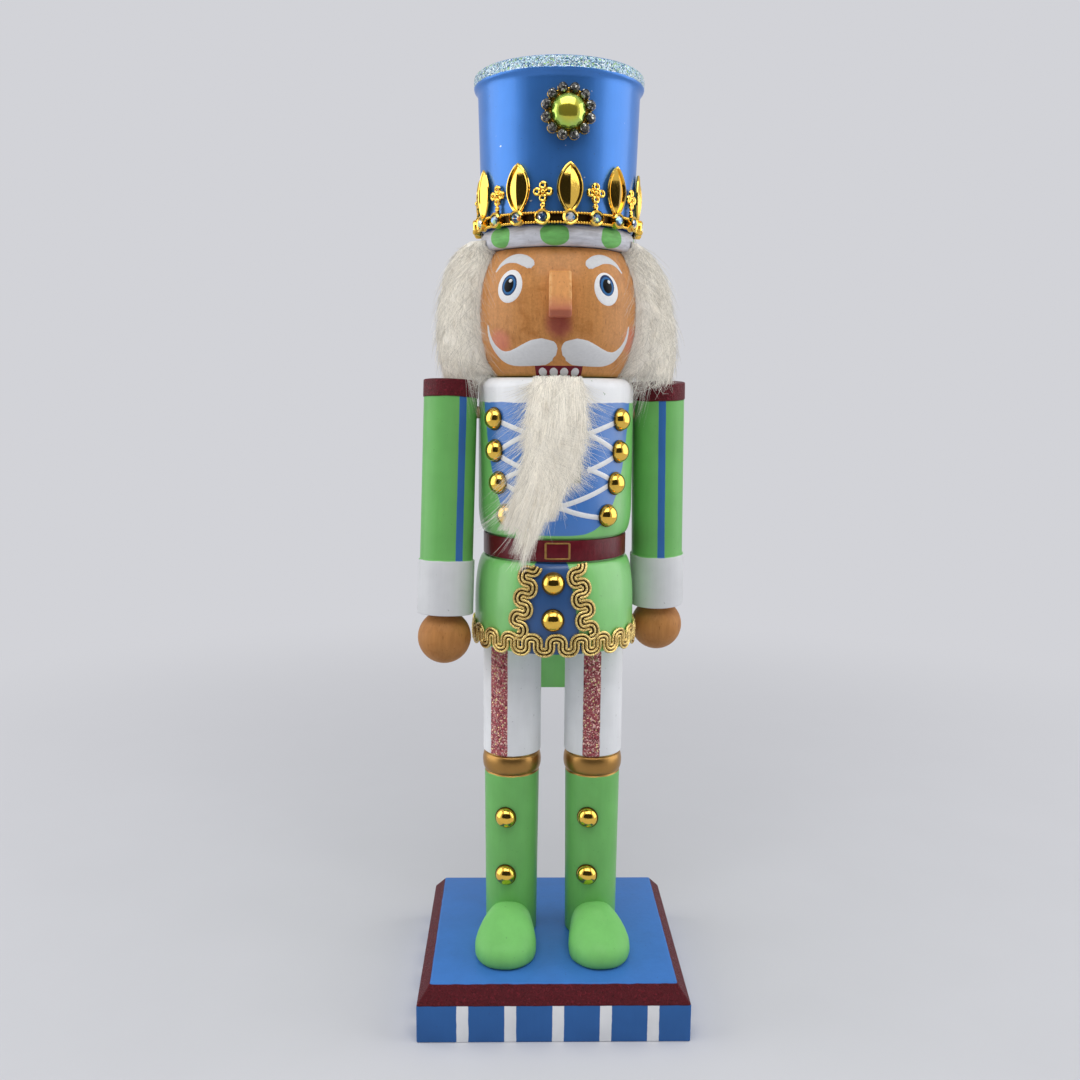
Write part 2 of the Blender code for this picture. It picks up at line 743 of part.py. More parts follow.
def dome_profile(radius, height):
    dome = arc((0, 0), (radius, height), math.pi / 2, 0)
    return [(0, height), *dome[1:], (0, 0)]


def make_stud(name, profile, height, angle, origin=(0, 0, 0)):
    """A stud on a turned surface, square to it, at a height and an angle from the front."""
    radius, lean = radius_at(profile, height)
    stud = finish(turned(name, dome_profile(stud_radius, stud_height), small_steps), GOLD)
    out = Vector((math.sin(angle) * math.cos(lean), -math.cos(angle) * math.cos(lean), math.sin(lean)))
    foot = Vector((radius * math.sin(angle), -radius * math.cos(angle), height))
    stud.location = Vector(origin) + foot + out * gap
    stud.rotation_euler = (math.pi / 2 - lean, 0, angle)


def make_body_studs():
    for side, sign in SIDES:
        for index, angle in enumerate(chest_stud_angles):
            height = chest_top - chest_stud_first - index * chest_stud_pitch
            make_stud(f"{side}_chest_stud_{index + 1}", body_profile(), height, sign * angle)
    for index in range(2):
        height = hem_braid_top + 2 * gap + stud_radius + index * skirt_stud_pitch
        make_stud(f"skirt_stud_{index + 1}", body_profile(), height, skirt_turn)


def make_braids():
    top = hem_braid_top
    inner = skirt_radius + gap
    middle = (top + hem_braid_bottom) / 2
    roll = arc((inner, middle), (braid_thickness, hem_braid_height / 2), math.pi / 2, -math.pi / 2)
    finish(turned("hem_braid", roll, body_steps, ring=True), THREAD)

    strip_top = waist_bottom - gap
    strip_foot = top + gap
    skirt = [point for point in body_profile() if strip_foot < point[1] < strip_top and point[0] > 0]
    skirt = [(radius_at(body_profile(), strip_top)[0], strip_top), *skirt]
    skirt.append((radius_at(body_profile(), strip_foot)[0], strip_foot))
    cloth = widened(skirt, gap + braid_thickness) + list(reversed(widened(skirt, gap)))
    for side, sign in SIDES:
        braid = finish(turned(side + "_front_braid", cloth, body_steps, ring=True), THREAD)
        head = Vector((sign * front_braid_top_reach, 0, waist_bottom))
        foot = Vector((sign * front_braid_foot_reach, 0, top))
        lean = math.atan2(head.x - foot.x, head.z - foot.z)
        half = Vector((front_braid_width / 2, skirt_radius, skirt_height))
        strip = as_cutter(box(side + "_braid_strip", (-half.x, -2 * half.y, -half.z), (half.x, 0, half.z)))
        strip.location = Matrix.Rotation(skirt_turn, 3, "Z") @ ((head + foot) / 2)
        strip.rotation_euler = (0, lean, skirt_turn)
        cut(braid, strip, "INTERSECT")


def make_figure():
    base = make_base()
    body = make_body()
    shoulders = empty("shoulders", (0, 0, shoulder_height), (0, 0, shoulder_turn))
    for side, sign in SIDES:
        make_leg(side, sign, base, body)
        make_arm(side, sign, body, shoulders)
    make_belt()
    make_jaw(body)
    head = make_head(body)
    make_nose()
    make_hair()
    make_hat(head)
    make_crown()
    make_medallion()
    make_body_studs()
    make_braids()


make_figure()
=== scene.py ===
import math
import random

import bmesh
import bpy
from bpy.props import FloatProperty, FloatVectorProperty, IntProperty, PointerProperty
from mathutils import Matrix, Vector, noise


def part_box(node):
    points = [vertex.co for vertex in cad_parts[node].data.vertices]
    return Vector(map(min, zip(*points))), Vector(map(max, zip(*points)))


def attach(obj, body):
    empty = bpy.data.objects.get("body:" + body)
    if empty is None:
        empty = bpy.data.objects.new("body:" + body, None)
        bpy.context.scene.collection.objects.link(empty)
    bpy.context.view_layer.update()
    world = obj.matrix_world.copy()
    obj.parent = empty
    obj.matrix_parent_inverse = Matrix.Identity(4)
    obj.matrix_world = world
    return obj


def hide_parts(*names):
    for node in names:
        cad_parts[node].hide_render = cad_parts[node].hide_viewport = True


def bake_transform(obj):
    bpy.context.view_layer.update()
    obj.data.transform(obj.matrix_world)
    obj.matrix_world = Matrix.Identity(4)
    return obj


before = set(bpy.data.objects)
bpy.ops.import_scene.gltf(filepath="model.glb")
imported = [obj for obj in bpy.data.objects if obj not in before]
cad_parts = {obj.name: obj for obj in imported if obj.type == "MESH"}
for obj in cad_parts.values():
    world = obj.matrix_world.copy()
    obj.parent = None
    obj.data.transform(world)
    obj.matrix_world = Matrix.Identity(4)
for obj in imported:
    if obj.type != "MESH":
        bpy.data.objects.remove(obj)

bl_info = {
    "name": "Nutcracker figure",
    "version": (1, 0, 0),
    "blender": (4, 5, 0),
    "location": "3D View > Sidebar > Nutcracker",
    "description": "Dresses the packed nutcracker figure in painted wood, trim and fur",
    "category": "Object",
}

MM = 0.001
DEGREE = math.pi / 180
SIDES = (("right", -1), ("left", 1))
SATIN = 0.15

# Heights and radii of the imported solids
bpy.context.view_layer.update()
BASE_LOW, BASE_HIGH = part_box("base")
LEG_LOW, LEG_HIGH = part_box("left_leg")
BODY_LOW, BODY_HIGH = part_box("body")
BELT_LOW, BELT_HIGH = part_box("belt")
HEAD_LOW, HEAD_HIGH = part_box("head")
HAIR_LOW, HAIR_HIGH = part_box("hair")
BAND_LOW, BAND_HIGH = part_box("hat_band")
HAT_LOW, HAT_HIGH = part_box("hat")
BRAID_LOW, BRAID_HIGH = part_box("hem_braid")
JAW_LOW, JAW_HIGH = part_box("jaw_lever")
PIN_LOW, PIN_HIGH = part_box("jaw_pin")
PIN_HEIGHT = (PIN_LOW.z + PIN_HIGH.z) / 2
SLOT_FLOOR = PIN_HEIGHT - 15 * MM
JAW_WIDTH = JAW_HIGH.x - JAW_LOW.x
LEG_AXIS = (LEG_LOW.x + LEG_HIGH.x) / 2


# Outlines and surfaces

def in_mm(points):
    """Points given in millimetres, in metres."""
    return [(along * MM, height * MM) for along, height in points]


def arc(centre, radii, start, end, steps=10):
    """Points of an elliptical arc as (radius, height) pairs."""
    points = []
    for step in range(steps + 1):
        angle = start + (end - start) * step / steps
        points.append((centre[0] + radii[0] * math.cos(angle), centre[1] + radii[1] * math.sin(angle)))
    return points


def eased(profile, radius, steps=4):
    """A profile with its sharp corners rounded off."""
    eased_points = [profile[0]]
    for before, corner, after in zip(profile, profile[1:], profile[2:]):
        before, corner, after = Vector(before), Vector(corner), Vector(after)
        back, ahead = before - corner, after - corner
        if back.angle(ahead) > 140 * DEGREE:
            eased_points.append(tuple(corner))
            continue
        start = corner + back.normalized() * min(radius, back.length * 0.45)
        end = corner + ahead.normalized() * min(radius, ahead.length * 0.45)
        for step in range(steps + 1):
            share = step / steps
            eased_points.append(tuple(start.lerp(corner, share).lerp(corner.lerp(end, share), share)))
    eased_points.append(profile[-1])
    return eased_points


def radius_at(profile, height):
    """Radius of a profile at a height, and the lean of its surface there."""
    for (upper_radius, upper), (lower_radius, lower) in zip(profile, profile[1:]):
        if lower <= height <= upper and upper - lower > 1e-7:
            slope = (lower_radius - upper_radius) / (upper - lower)
            return lower_radius - slope * (height - lower), math.atan(slope)
    raise ValueError(f"height {height} outside the profile")


def on_surface(profile, angle, height, lift=0.0):
    """Point over a turned surface at an angle from the front and a height."""
    radius, lean = radius_at(profile, height)
    radius += lift * math.cos(lean)
    return Vector((radius * math.sin(angle), -radius * math.cos(angle), height + lift * math.sin(lean)))


def smooth_step(value, low, high):
    share = min(max((value - low) / (high - low), 0), 1)
    return share * share * (3 - 2 * share)


# Meshes

def turned(profile, steps, ring=False):
    """A bmesh turned about Z from a profile that runs down its outer side."""
    shape = bmesh.new()
    line = [shape.verts.new((radius, 0, height)) for radius, height in profile]
    edges = [shape.edges.new(pair) for pair in zip(line, line[1:])]
    if ring:
        edges.append(shape.edges.new((line[-1], line[0])))
    bmesh.ops.spin(shape, geom=line + edges, cent=(0, 0, 0), axis=(0, 0, 1), dvec=(0, 0, 0),
                   angle=2 * math.pi, steps=steps, use_merge=True)
    bmesh.ops.remove_doubles(shape, verts=shape.verts, dist=1e-6)
    bmesh.ops.recalc_face_normals(shape, faces=shape.faces)
    return shape


def moved(shape, matrix):
    """The same bmesh, moved by a matrix."""
    bmesh.ops.transform(shape, matrix=matrix, verts=shape.verts)
    return shape


def softened(shape, offset, segments=2, angle=30 * DEGREE):
    """The same bmesh with its sharp edges bevelled."""
    sharp = [edge for edge in shape.edges if edge.is_manifold and edge.calc_face_angle(0) > angle]
    bmesh.ops.bevel(shape, geom=sharp, offset=offset, segments=segments, profile=0.5, material=-1,
                    affect="EDGES", clamp_overlap=True)
    return shape


def slab(outline, width):
    """A bmesh of an outline in the YZ plane, as wide along X as given."""
    shape = bmesh.new()
    corners = [shape.verts.new((-width / 2, along, height)) for along, height in outline]
    face = shape.faces.new(corners)
    grown = bmesh.ops.extrude_face_region(shape, geom=[face])["geom"]
    far = [part for part in grown if isinstance(part, bmesh.types.BMVert)]
    bmesh.ops.translate(shape, verts=far, vec=(width, 0, 0))
    bmesh.ops.recalc_face_normals(shape, faces=shape.faces)
    return shape


def mesh_of(name, shape):
    """A mesh from a bmesh, which is freed."""
    mesh = bpy.data.meshes.new(name)
    shape.to_mesh(mesh)
    shape.free()
    return mesh


def placed(name, data):
    """An object at the origin that shows some data."""
    item = bpy.data.objects.new(name, data)
    bpy.context.scene.collection.objects.link(item)
    return item


def shape_of(item):
    """A bmesh of an object as it is shown, with its curve or its modifiers worked out."""
    bpy.context.view_layer.update()
    mesh = bpy.data.meshes.new_from_object(item.evaluated_get(bpy.context.evaluated_depsgraph_get()))
    shape = bmesh.new()
    shape.from_mesh(mesh)
    bpy.data.meshes.remove(mesh)
    return shape


def copied(motif, places):
    """A bmesh with a copy of a motif at each place; the motif is freed."""
    mesh = mesh_of("motif", motif)
    shape = bmesh.new()
    for place in places:
        copy = mesh.copy()
        copy.transform(place)
        shape.from_mesh(copy)
        bpy.data.meshes.remove(copy)
    bpy.data.meshes.remove(mesh)
    return shape


def joined(*shapes):
    """One bmesh from several, which are freed."""
    whole = bmesh.new()
    for shape in shapes:
        mesh = mesh_of("joined", shape)
        whole.from_mesh(mesh)
        bpy.data.meshes.remove(mesh)
    return whole


def tubes(paths, sides=1, closed=False, kind="POLY", resolution=6):
    """A bmesh of round tubes along paths of (point, radius) pairs."""
    curve = bpy.data.curves.new("tubes", "CURVE")
    curve.dimensions = "3D"
    curve.bevel_depth = 1.0
    curve.bevel_resolution = sides
    curve.resolution_u = resolution
    curve.use_fill_caps = not closed
    for path in paths:
        spline = curve.splines.new(kind)
        points = spline.bezier_points if kind == "BEZIER" else spline.points
        points.add(len(path) - 1)
        for point, (place, radius) in zip(points, path):
            point.radius = radius
            if kind == "BEZIER":
                point.co = place
                point.handle_left_type = "AUTO"
                point.handle_right_type = "AUTO"
            else:
                point.co = (*place, 1)
        spline.use_cyclic_u = closed
    drawn = placed("tubes", curve)
    shape = shape_of(drawn)
    bpy.data.objects.remove(drawn)
    bpy.data.curves.remove(curve)
    return shape


def carved(shape, cutters):
    """A bmesh cut by other bmeshes; all of them are freed."""
    items = [placed("carving", mesh_of("carving", part)) for part in (shape, *cutters)]
    for cutter in items[1:]:
        modifier = items[0].modifiers.new("cut", "BOOLEAN")
        modifier.operation = "DIFFERENCE"
        modifier.solver = "EXACT"
        modifier.object = cutter
    result = shape_of(items[0])
    for item in items:
        bpy.data.meshes.remove(item.data)
    return result


def piece(name, shape, materials, nodes=(), body="figure", sharp=38 * DEGREE):
    """A finished piece from a bmesh, which rides on a body and stands for CAD nodes."""
    mesh = mesh_of(name, shape)
    for material in materials:
        mesh.materials.append(material)
    mesh.shade_smooth()
    mesh.set_sharp_from_angle(angle=sharp)
    item = placed(name, mesh)
    if body:
        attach(item, body)
    if nodes:
        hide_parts(*nodes)
    return item


# Materials

class Finish:
    """A procedural material, built up as coats laid over one another through masks."""

    def __init__(self, name, colour, roughness=0.4, metallic=0.0, place=None):
        self.material = bpy.data.materials.new(name)
        self.material.use_nodes = True
        self.tree = self.material.node_tree
        self.shader = self.tree.nodes["Principled BSDF"]
        self.where = self.node("ShaderNodeTexCoord").outputs["Object"]
        if place is not None:
            mapping = self.node("ShaderNodeMapping", vector_type="TEXTURE")
            self.put(mapping.inputs["Vector"], self.where)
            mapping.inputs["Location"].default_value = place.to_translation()
            mapping.inputs["Rotation"].default_value = place.to_euler()
            self.where = mapping.outputs["Vector"]
        split = self.node("ShaderNodeSeparateXYZ")
        self.put(split.inputs[0], self.where)
        self.x, self.y, self.z = split.outputs
        self.colour = (*colour, 1)
        self.roughness = roughness
        self.metallic = metallic
        self.normal = None

    def node(self, kind, **settings):
        made = self.tree.nodes.new(kind)
        for key, value in settings.items():
            setattr(made, key, value)
        return made

    def put(self, socket, value):
        """Link a socket to an input, or set the input's own value."""
        if isinstance(value, bpy.types.NodeSocket):
            self.tree.links.new(value, socket)
        else:
            socket.default_value = value

    def math(self, operation, *values):
        made = self.node("ShaderNodeMath", operation=operation)
        for socket, value in zip(made.inputs, values):
            self.put(socket, value)
        return made.outputs[0]

    def ramp(self, value, start, end):
        """0 before the start and 1 after the end, smoothly."""
        made = self.node("ShaderNodeMapRange", interpolation_type="SMOOTHSTEP")
        for key, entry in (("Value", value), ("From Min", start), ("From Max", end)):
            self.put(made.inputs[key], entry)
        return made.outputs["Result"]

    def between(self, value, low, high, soft):
        """1 where a value lies between two limits, with soft edges."""
        return self.math("MULTIPLY", self.ramp(value, low - soft, low + soft),
                         self.ramp(value, high + soft, high - soft))

    def both(self, *masks):
        whole = masks[0]
        for mask in masks[1:]:
            whole = self.math("MULTIPLY", whole, mask)
        return whole

    def angle(self):
        """Angle from the front about the Z axis, positive to the viewer's right."""
        return self.math("ARCTAN2", self.x, self.math("MULTIPLY", self.y, -1.0))

    def squares(self, first, second):
        """Sum of the squares of two values."""
        return self.math("ADD", self.math("MULTIPLY", first, first), self.math("MULTIPLY", second, second))

    def reach(self):
        """Distance from the Z axis."""
        return self.math("SQRT", self.squares(self.x, self.y))

    def stretched(self, stretch):
        mapping = self.node("ShaderNodeMapping")
        self.put(mapping.inputs["Vector"], self.where)
        mapping.inputs["Scale"].default_value = stretch
        return mapping.outputs["Vector"]

    def noise(self, size, stretch=None, detail=3.0, roughness=0.55, distortion=0.0):
        """Cloudy pattern from 0 to 1 with features of about the given size."""
        made = self.node("ShaderNodeTexNoise")
        self.put(made.inputs["Vector"], self.stretched(stretch) if stretch else self.where)
        for key, value in (("Scale", 1 / size), ("Detail", detail), ("Roughness", roughness),
                           ("Distortion", distortion)):
            made.inputs[key].default_value = value
        return made.outputs["Fac"]

    def cells(self, size):
        """Random cells of about the given size: their distance and colour sockets."""
        made = self.node("ShaderNodeTexVoronoi")
        self.put(made.inputs["Vector"], self.where)
        made.inputs["Scale"].default_value = 1 / size
        return made.outputs["Distance"], made.outputs["Color"]

    def wobbly(self, value, amount, size):
        """A value with a hand-painted wobble."""
        sway = self.math("MULTIPLY_ADD", self.noise(size, detail=2.0), 2 * amount, -amount)
        return self.math("ADD", value, sway)

    def mixed(self, mask, under, over):
        made = self.node("ShaderNodeMix", data_type="RGBA")
        self.put(made.inputs[0], mask)
        self.put(made.inputs[6], under)
        self.put(made.inputs[7], over)
        return made.outputs[2]

    def mixed_value(self, mask, under, over):
        made = self.node("ShaderNodeMix", data_type="FLOAT")
        self.put(made.inputs[0], mask)
        self.put(made.inputs[2], under)
        self.put(made.inputs[3], over)
        return made.outputs[0]

    def coat(self, mask, colour, roughness=None, metallic=None):
        """Lay a colour over what is there, through a mask."""
        if not isinstance(colour, bpy.types.NodeSocket):
            colour = (*colour, 1)
        self.colour = self.mixed(mask, self.colour, colour)
        if roughness is not None:
            self.roughness = self.mixed_value(mask, self.roughness, roughness)
        if metallic is not None:
            self.metallic = self.mixed_value(mask, self.metallic, metallic)

    def tinted(self, pattern, low, high):
        """Multiply the colour by a brightness that follows a pattern."""
        shade = self.node("ShaderNodeMapRange")
        self.put(shade.inputs["Value"], pattern)
        for key, value in (("From Min", 0.25), ("From Max", 0.75), ("To Min", low), ("To Max", high)):
            shade.inputs[key].default_value = value
        made = self.node("ShaderNodeVectorMath", operation="SCALE")
        plain = not isinstance(self.colour, bpy.types.NodeSocket)
        self.put(made.inputs[0], self.colour[:3] if plain else self.colour)
        self.put(made.inputs["Scale"], shade.outputs["Result"])
        self.colour = made.outputs[0]

    def bump(self, height, depth):
        """Raise the surface by a pattern; depth is in metres."""
        made = self.node("ShaderNodeBump")
        made.inputs["Distance"].default_value = depth
        self.put(made.inputs["Height"], height)
        if self.normal is not None:
            self.put(made.inputs["Normal"], self.normal)
        self.normal = made.outputs["Normal"]

    def flakes(self, mask, size, tilt):
        """Tilt the surface differently in each glitter flake; returns the flakes' random colours."""
        colour = self.cells(size)[1]
        centred = self.node("ShaderNodeVectorMath", operation="SUBTRACT")
        self.put(centred.inputs[0], colour)
        centred.inputs[1].default_value = (0.5, 0.5, 0.5)
        scaled = self.node("ShaderNodeVectorMath", operation="SCALE")
        self.put(scaled.inputs[0], centred.outputs[0])
        self.put(scaled.inputs["Scale"], self.math("MULTIPLY", mask, tilt))
        added = self.node("ShaderNodeVectorMath", operation="ADD")
        base = self.normal or self.node("ShaderNodeNewGeometry").outputs["Normal"]
        self.put(added.inputs[0], base)
        self.put(added.inputs[1], scaled.outputs[0])
        even = self.node("ShaderNodeVectorMath", operation="NORMALIZE")
        self.put(even.inputs[0], added.outputs[0])
        self.normal = even.outputs[0]
        split = self.node("ShaderNodeSeparateXYZ")
        self.put(split.inputs[0], colour)
        return split.outputs

    def done(self, **constants):
        """Wire the coats to the shader and return the material."""
        self.put(self.shader.inputs["Base Color"], self.colour)
        self.put(self.shader.inputs["Roughness"], self.roughness)
        self.put(self.shader.inputs["Metallic"], self.metallic)
        if self.normal is not None:
            self.put(self.shader.inputs["Normal"], self.normal)
        for key, value in constants.items():
            self.shader.inputs[key.replace("_", " ").title().replace("Ior", "IOR")].default_value = value
        return self.material


def brushed(finish, grain=0.05 * MM):
    """Hand-brushed enamel over turned wood: faint upright grain, thick and thin places, small dust specks."""
    fibre = finish.noise(2.2 * MM, stretch=(1, 1, 0.1), detail=4.0)
    cloud = finish.noise(14 * MM, detail=2.0)
    finish.tinted(cloud, 0.93, 1.06)
    finish.tinted(fibre, 0.97, 1.025)
    speck = finish.ramp(finish.noise(1.1 * MM, detail=1.0), 0.74, 0.8)
    finish.coat(finish.math("MULTIPLY", speck, 0.35), (0.05, 0.045, 0.04))
    finish.roughness = finish.math("ADD", finish.roughness, finish.math("MULTIPLY_ADD", cloud, 0.12, -0.06))
    finish.bump(fibre, grain)
    finish.bump(finish.noise(0.7 * MM, detail=2.0), 0.018 * MM)


def stippled(finish, mask, colour):
    """Thick paint dabbed on with a dry brush: shiny crests lightened as a painted highlight, and pits
    darkened as painted shade.
    """
    dabs = finish.noise(1.1 * MM, detail=3.0, roughness=0.65, distortion=1.2)
    # Painted highlight on the crests, painted shade in the pits
    finish.coat(finish.both(mask, finish.ramp(dabs, 0.52, 0.7)), Vector(colour) * 1.9, 0.35)
    finish.coat(finish.both(mask, finish.ramp(dabs, 0.44, 0.3)), Vector(colour) * 0.45)
    finish.bump(finish.math("MULTIPLY", dabs, mask), 0.7 * MM)


def grained(finish, dark, line):
    """Stained wood: long fibres, short dark pores and a mottled stain."""
    mottle = finish.noise(7 * MM, detail=3.0, distortion=0.6)
    fibre = finish.noise(1.5 * MM, stretch=(1, 1, 0.07), detail=5.0, distortion=0.3)
    pores = finish.ramp(finish.noise(0.65 * MM, stretch=(1, 1, 0.14), detail=1.0), 0.66, 0.78)
    finish.coat(finish.ramp(mottle, 0.45, 0.85), dark)
    finish.tinted(fibre, 0.86, 1.1)
    finish.coat(finish.math("MULTIPLY", pores, 0.45), line)
    finish.bump(fibre, 0.05 * MM)
    finish.bump(pores, -0.04 * MM)


def glittered(finish, mask, size, tilt, ground, glint_shade_and_tint_flakes):
    """Colour of glitter flakes, each tilted its own way: most in a ground colour, some paler as painted
    glints, some darker as painted shade, some in other colours.
    """
    flake = (*ground, 1)
    for value, (start, end, colour) in zip(finish.flakes(mask, size, tilt), glint_shade_and_tint_flakes):
        flake = finish.mixed(finish.ramp(value, start, end), flake, (*colour, 1))
    return flake


# Sizes and colours that a user would change

def length(name, description, value):
    return FloatProperty(name=name, description=description, default=value, min=0, unit="LENGTH",
                         subtype="DISTANCE", precision=5)


def paint(name, description, value):
    return FloatVectorProperty(name=name, description=description, default=value, min=0, max=1, size=3,
                               subtype="COLOR")


class FigureColours(bpy.types.PropertyGroup):
    """Paints, stains and fibres of the figure."""

    green: paint("Green", "Enamel of the coat, boots, shoes and sleeves", (0.20, 0.56, 0.155))
    blue: paint("Blue", "Enamel of the hat, bib, stripes and base", (0.05, 0.19, 0.55))
    maroon: paint("Maroon", "Enamel of the belt, shoulder caps and base bevel", (0.105, 0.007, 0.013))
    white: paint("White", "Enamel of the collar, lacing, cuffs, thighs and base stripes", (0.80, 0.81, 0.83))
    tan: paint("Tan", "Stain of the head, nose and hands", (0.56, 0.25, 0.078))
    bare: paint("Bare wood", "Unpainted wood of the dowels", (0.55, 0.37, 0.2))
    gold: paint("Gold", "Plated studs and crown", (0.92, 0.58, 0.1))
    bronze: paint("Bronze", "Metallic paint of the knee rings and the buckle", (0.40, 0.215, 0.06))
    thread: paint("Thread", "Metal thread of the gimp braid", (0.86, 0.64, 0.24))
    fur: paint("Fur", "Hair and beard", (0.90, 0.865, 0.79))
    fur_shade: paint("Fur partings", "Shade between the locks of the hair and beard", (0.56, 0.50, 0.41))
    rose: paint("Rose glitter", "Glitter of the leg stripes", (0.42, 0.1, 0.115))
    silver: paint("Silver glitter", "Glitter of the hat rim", (0.42, 0.6, 0.72))


class FigureSizes(bpy.types.PropertyGroup):
    """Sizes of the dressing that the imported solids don't give."""

    edge: length("Edge round", "Rounding of the turned edges", 0.6 * MM)
    bevel_rise: length("Bevel rise", "Height of the base's maroon bevel", 6.8 * MM)
    bevel_run: length("Bevel run", "Width of the base's maroon bevel", 5.4 * MM)
    stripe_pitch: length("Base stripe pitch", "From one white stripe of the base to the next", 19.1 * MM)
    stripe_width: length("Base stripe width", "Width of each white stripe of the base", 4.7 * MM)
    boot: length("Boot height", "From the foot up to the top of the boot", 73 * MM)
    knee: length("Knee height", "Height of the bronze knee ring", 9 * MM)
    glitter: length("Glitter size", "Size of a glitter flake", 0.5 * MM)
    waist: length("Waist radius", "Radius of the waist under the belt", 28.4 * MM)
    chest: length("Chest radius", "Radius of the chest", 32 * MM)
    stud: length("Stud radius", "Radius of a dome stud", 4.6 * MM)
    cord: length("Cord radius", "Radius of one cord of the gimp braid", 0.56 * MM)
    braid_pitch: length("Braid pitch", "Length of one wave of the gimp braid", 9.4 * MM)
    lace: length("Lace width", "Width of a painted lace", 2.0 * MM)
    strand: length("Strand radius", "Radius of a fur strand at its root", 0.1 * MM)
    hair_strands: IntProperty(name="Hair strands", description="Fur strands on each side of the head",
                              default=6500, min=100, max=6800)
    beard_strands: IntProperty(name="Beard strands", description="Fur strands in each layer of the beard",
                               default=4200, min=100, max=4500)


def settings(context):
    """Colours and sizes of the scene's figure."""
    return context.scene.nutcracker_colours, context.scene.nutcracker_sizes


# Base block

class NUTCRACKER_OT_base(bpy.types.Operator):
    """Block with a stippled bevel and white stripes"""
    bl_idname = "nutcracker.base"
    bl_label = "Base"

    def finish(self, colours, sizes):
        side_top = BASE_HIGH.z - sizes.bevel_rise
        # The sides take a darker copy of the top's blue: painted shade on the upright faces
        shaded_side_paint, bevel_paint = Vector(colours.blue) * 0.66, Vector(colours.maroon) * 0.85
        coat = Finish("base_paint", colours.blue, 0.38)
        coat.coat(coat.ramp(coat.z, side_top, side_top - 0.2 * MM), shaded_side_paint)
        pitch, half, off_middle = sizes.stripe_pitch, sizes.stripe_width / 2, 1.6 * MM
        for along, across, reach in ((coat.x, coat.y, BASE_HIGH.y), (coat.y, coat.x, BASE_HIGH.x)):
            shifted = coat.math("ADD", coat.wobbly(along, 0.25 * MM, 6 * MM), pitch / 2 - off_middle)
            spot = coat.math("FLOORED_MODULO", shifted, pitch)
            offset = coat.math("ABSOLUTE", coat.math("SUBTRACT", spot, pitch / 2))
            on_face = coat.ramp(coat.math("ABSOLUTE", across), reach - 0.9 * MM, reach - 0.7 * MM)
            inner = coat.ramp(coat.math("ABSOLUTE", along), 47 * MM, 46.8 * MM)
            stripe = coat.both(coat.ramp(offset, half + 0.12 * MM, half - 0.12 * MM), on_face, inner)
            coat.coat(stripe, colours.white, 0.45)
        rim = coat.wobbly(coat.z, 0.2 * MM, 5 * MM)
        bevel = coat.between(rim, side_top - 0.1 * MM, BASE_HIGH.z - 0.45 * MM, 0.12 * MM)
        coat.coat(bevel, bevel_paint, 0.5)
        brushed(coat)
        stippled(coat, bevel, bevel_paint)
        return coat.done(specular_ior_level=SATIN)

    def execute(self, context):
        colours, sizes = settings(context)
        shape = bmesh.new()
        span = BASE_HIGH - BASE_LOW
        side = span.z - sizes.bevel_rise
        place = Matrix.Translation((0, 0, side / 2)) @ Matrix.Diagonal((span.x, span.y, side, 1))
        bmesh.ops.create_cube(shape, size=1, matrix=place)
        top = max(shape.faces, key=lambda face: face.calc_center_median().z)
        raised = bmesh.ops.extrude_discrete_faces(shape, faces=[top])["faces"][0]
        bmesh.ops.translate(shape, verts=raised.verts, vec=(0, 0, sizes.bevel_rise))
        shrink = (1 - 2 * sizes.bevel_run / span.x, 1 - 2 * sizes.bevel_run / span.y, 1)
        bmesh.ops.scale(shape, verts=raised.verts, vec=shrink)
        softened(shape, sizes.edge, 3, 20 * DEGREE)
        material = self.finish(colours, sizes)
        piece("base_block", shape, [material], ["base"])
        return {"FINISHED"}


# Legs and shoes

# Painted shade on the limbs: their paint is darker than the same colour on the body
LIMB_PAINTED_SHADE = 0.82
THIGH_STRIPES = {"right": (-46 * DEGREE, -9 * DEGREE), "left": (-24 * DEGREE, 10 * DEGREE)}


def leg_profile(sizes):
    foot, top = LEG_LOW.z, LEG_HIGH.z
    thigh = LEG_HIGH.x - LEG_AXIS
    boot_top = foot + sizes.boot
    knee_top = boot_top + sizes.knee
    middle = (boot_top + knee_top) / 2
    groove = thigh - 1.1 * MM
    ring = arc((groove, middle), (1.3 * MM, sizes.knee / 2 - 0.5 * MM), math.pi / 2, -math.pi / 2, 12)
    upper = [(0, top), (thigh, top), (thigh, knee_top + 0.3 * MM), (groove, knee_top)]
    lower = [(groove, boot_top + 0.2 * MM), (groove + 0.5 * MM, boot_top - 0.3 * MM),
             (groove + 0.45 * MM, boot_top - 3 * MM), (thigh - 1.3 * MM, foot), (0, foot)]
    return eased(upper + ring + lower, 0.4 * MM)


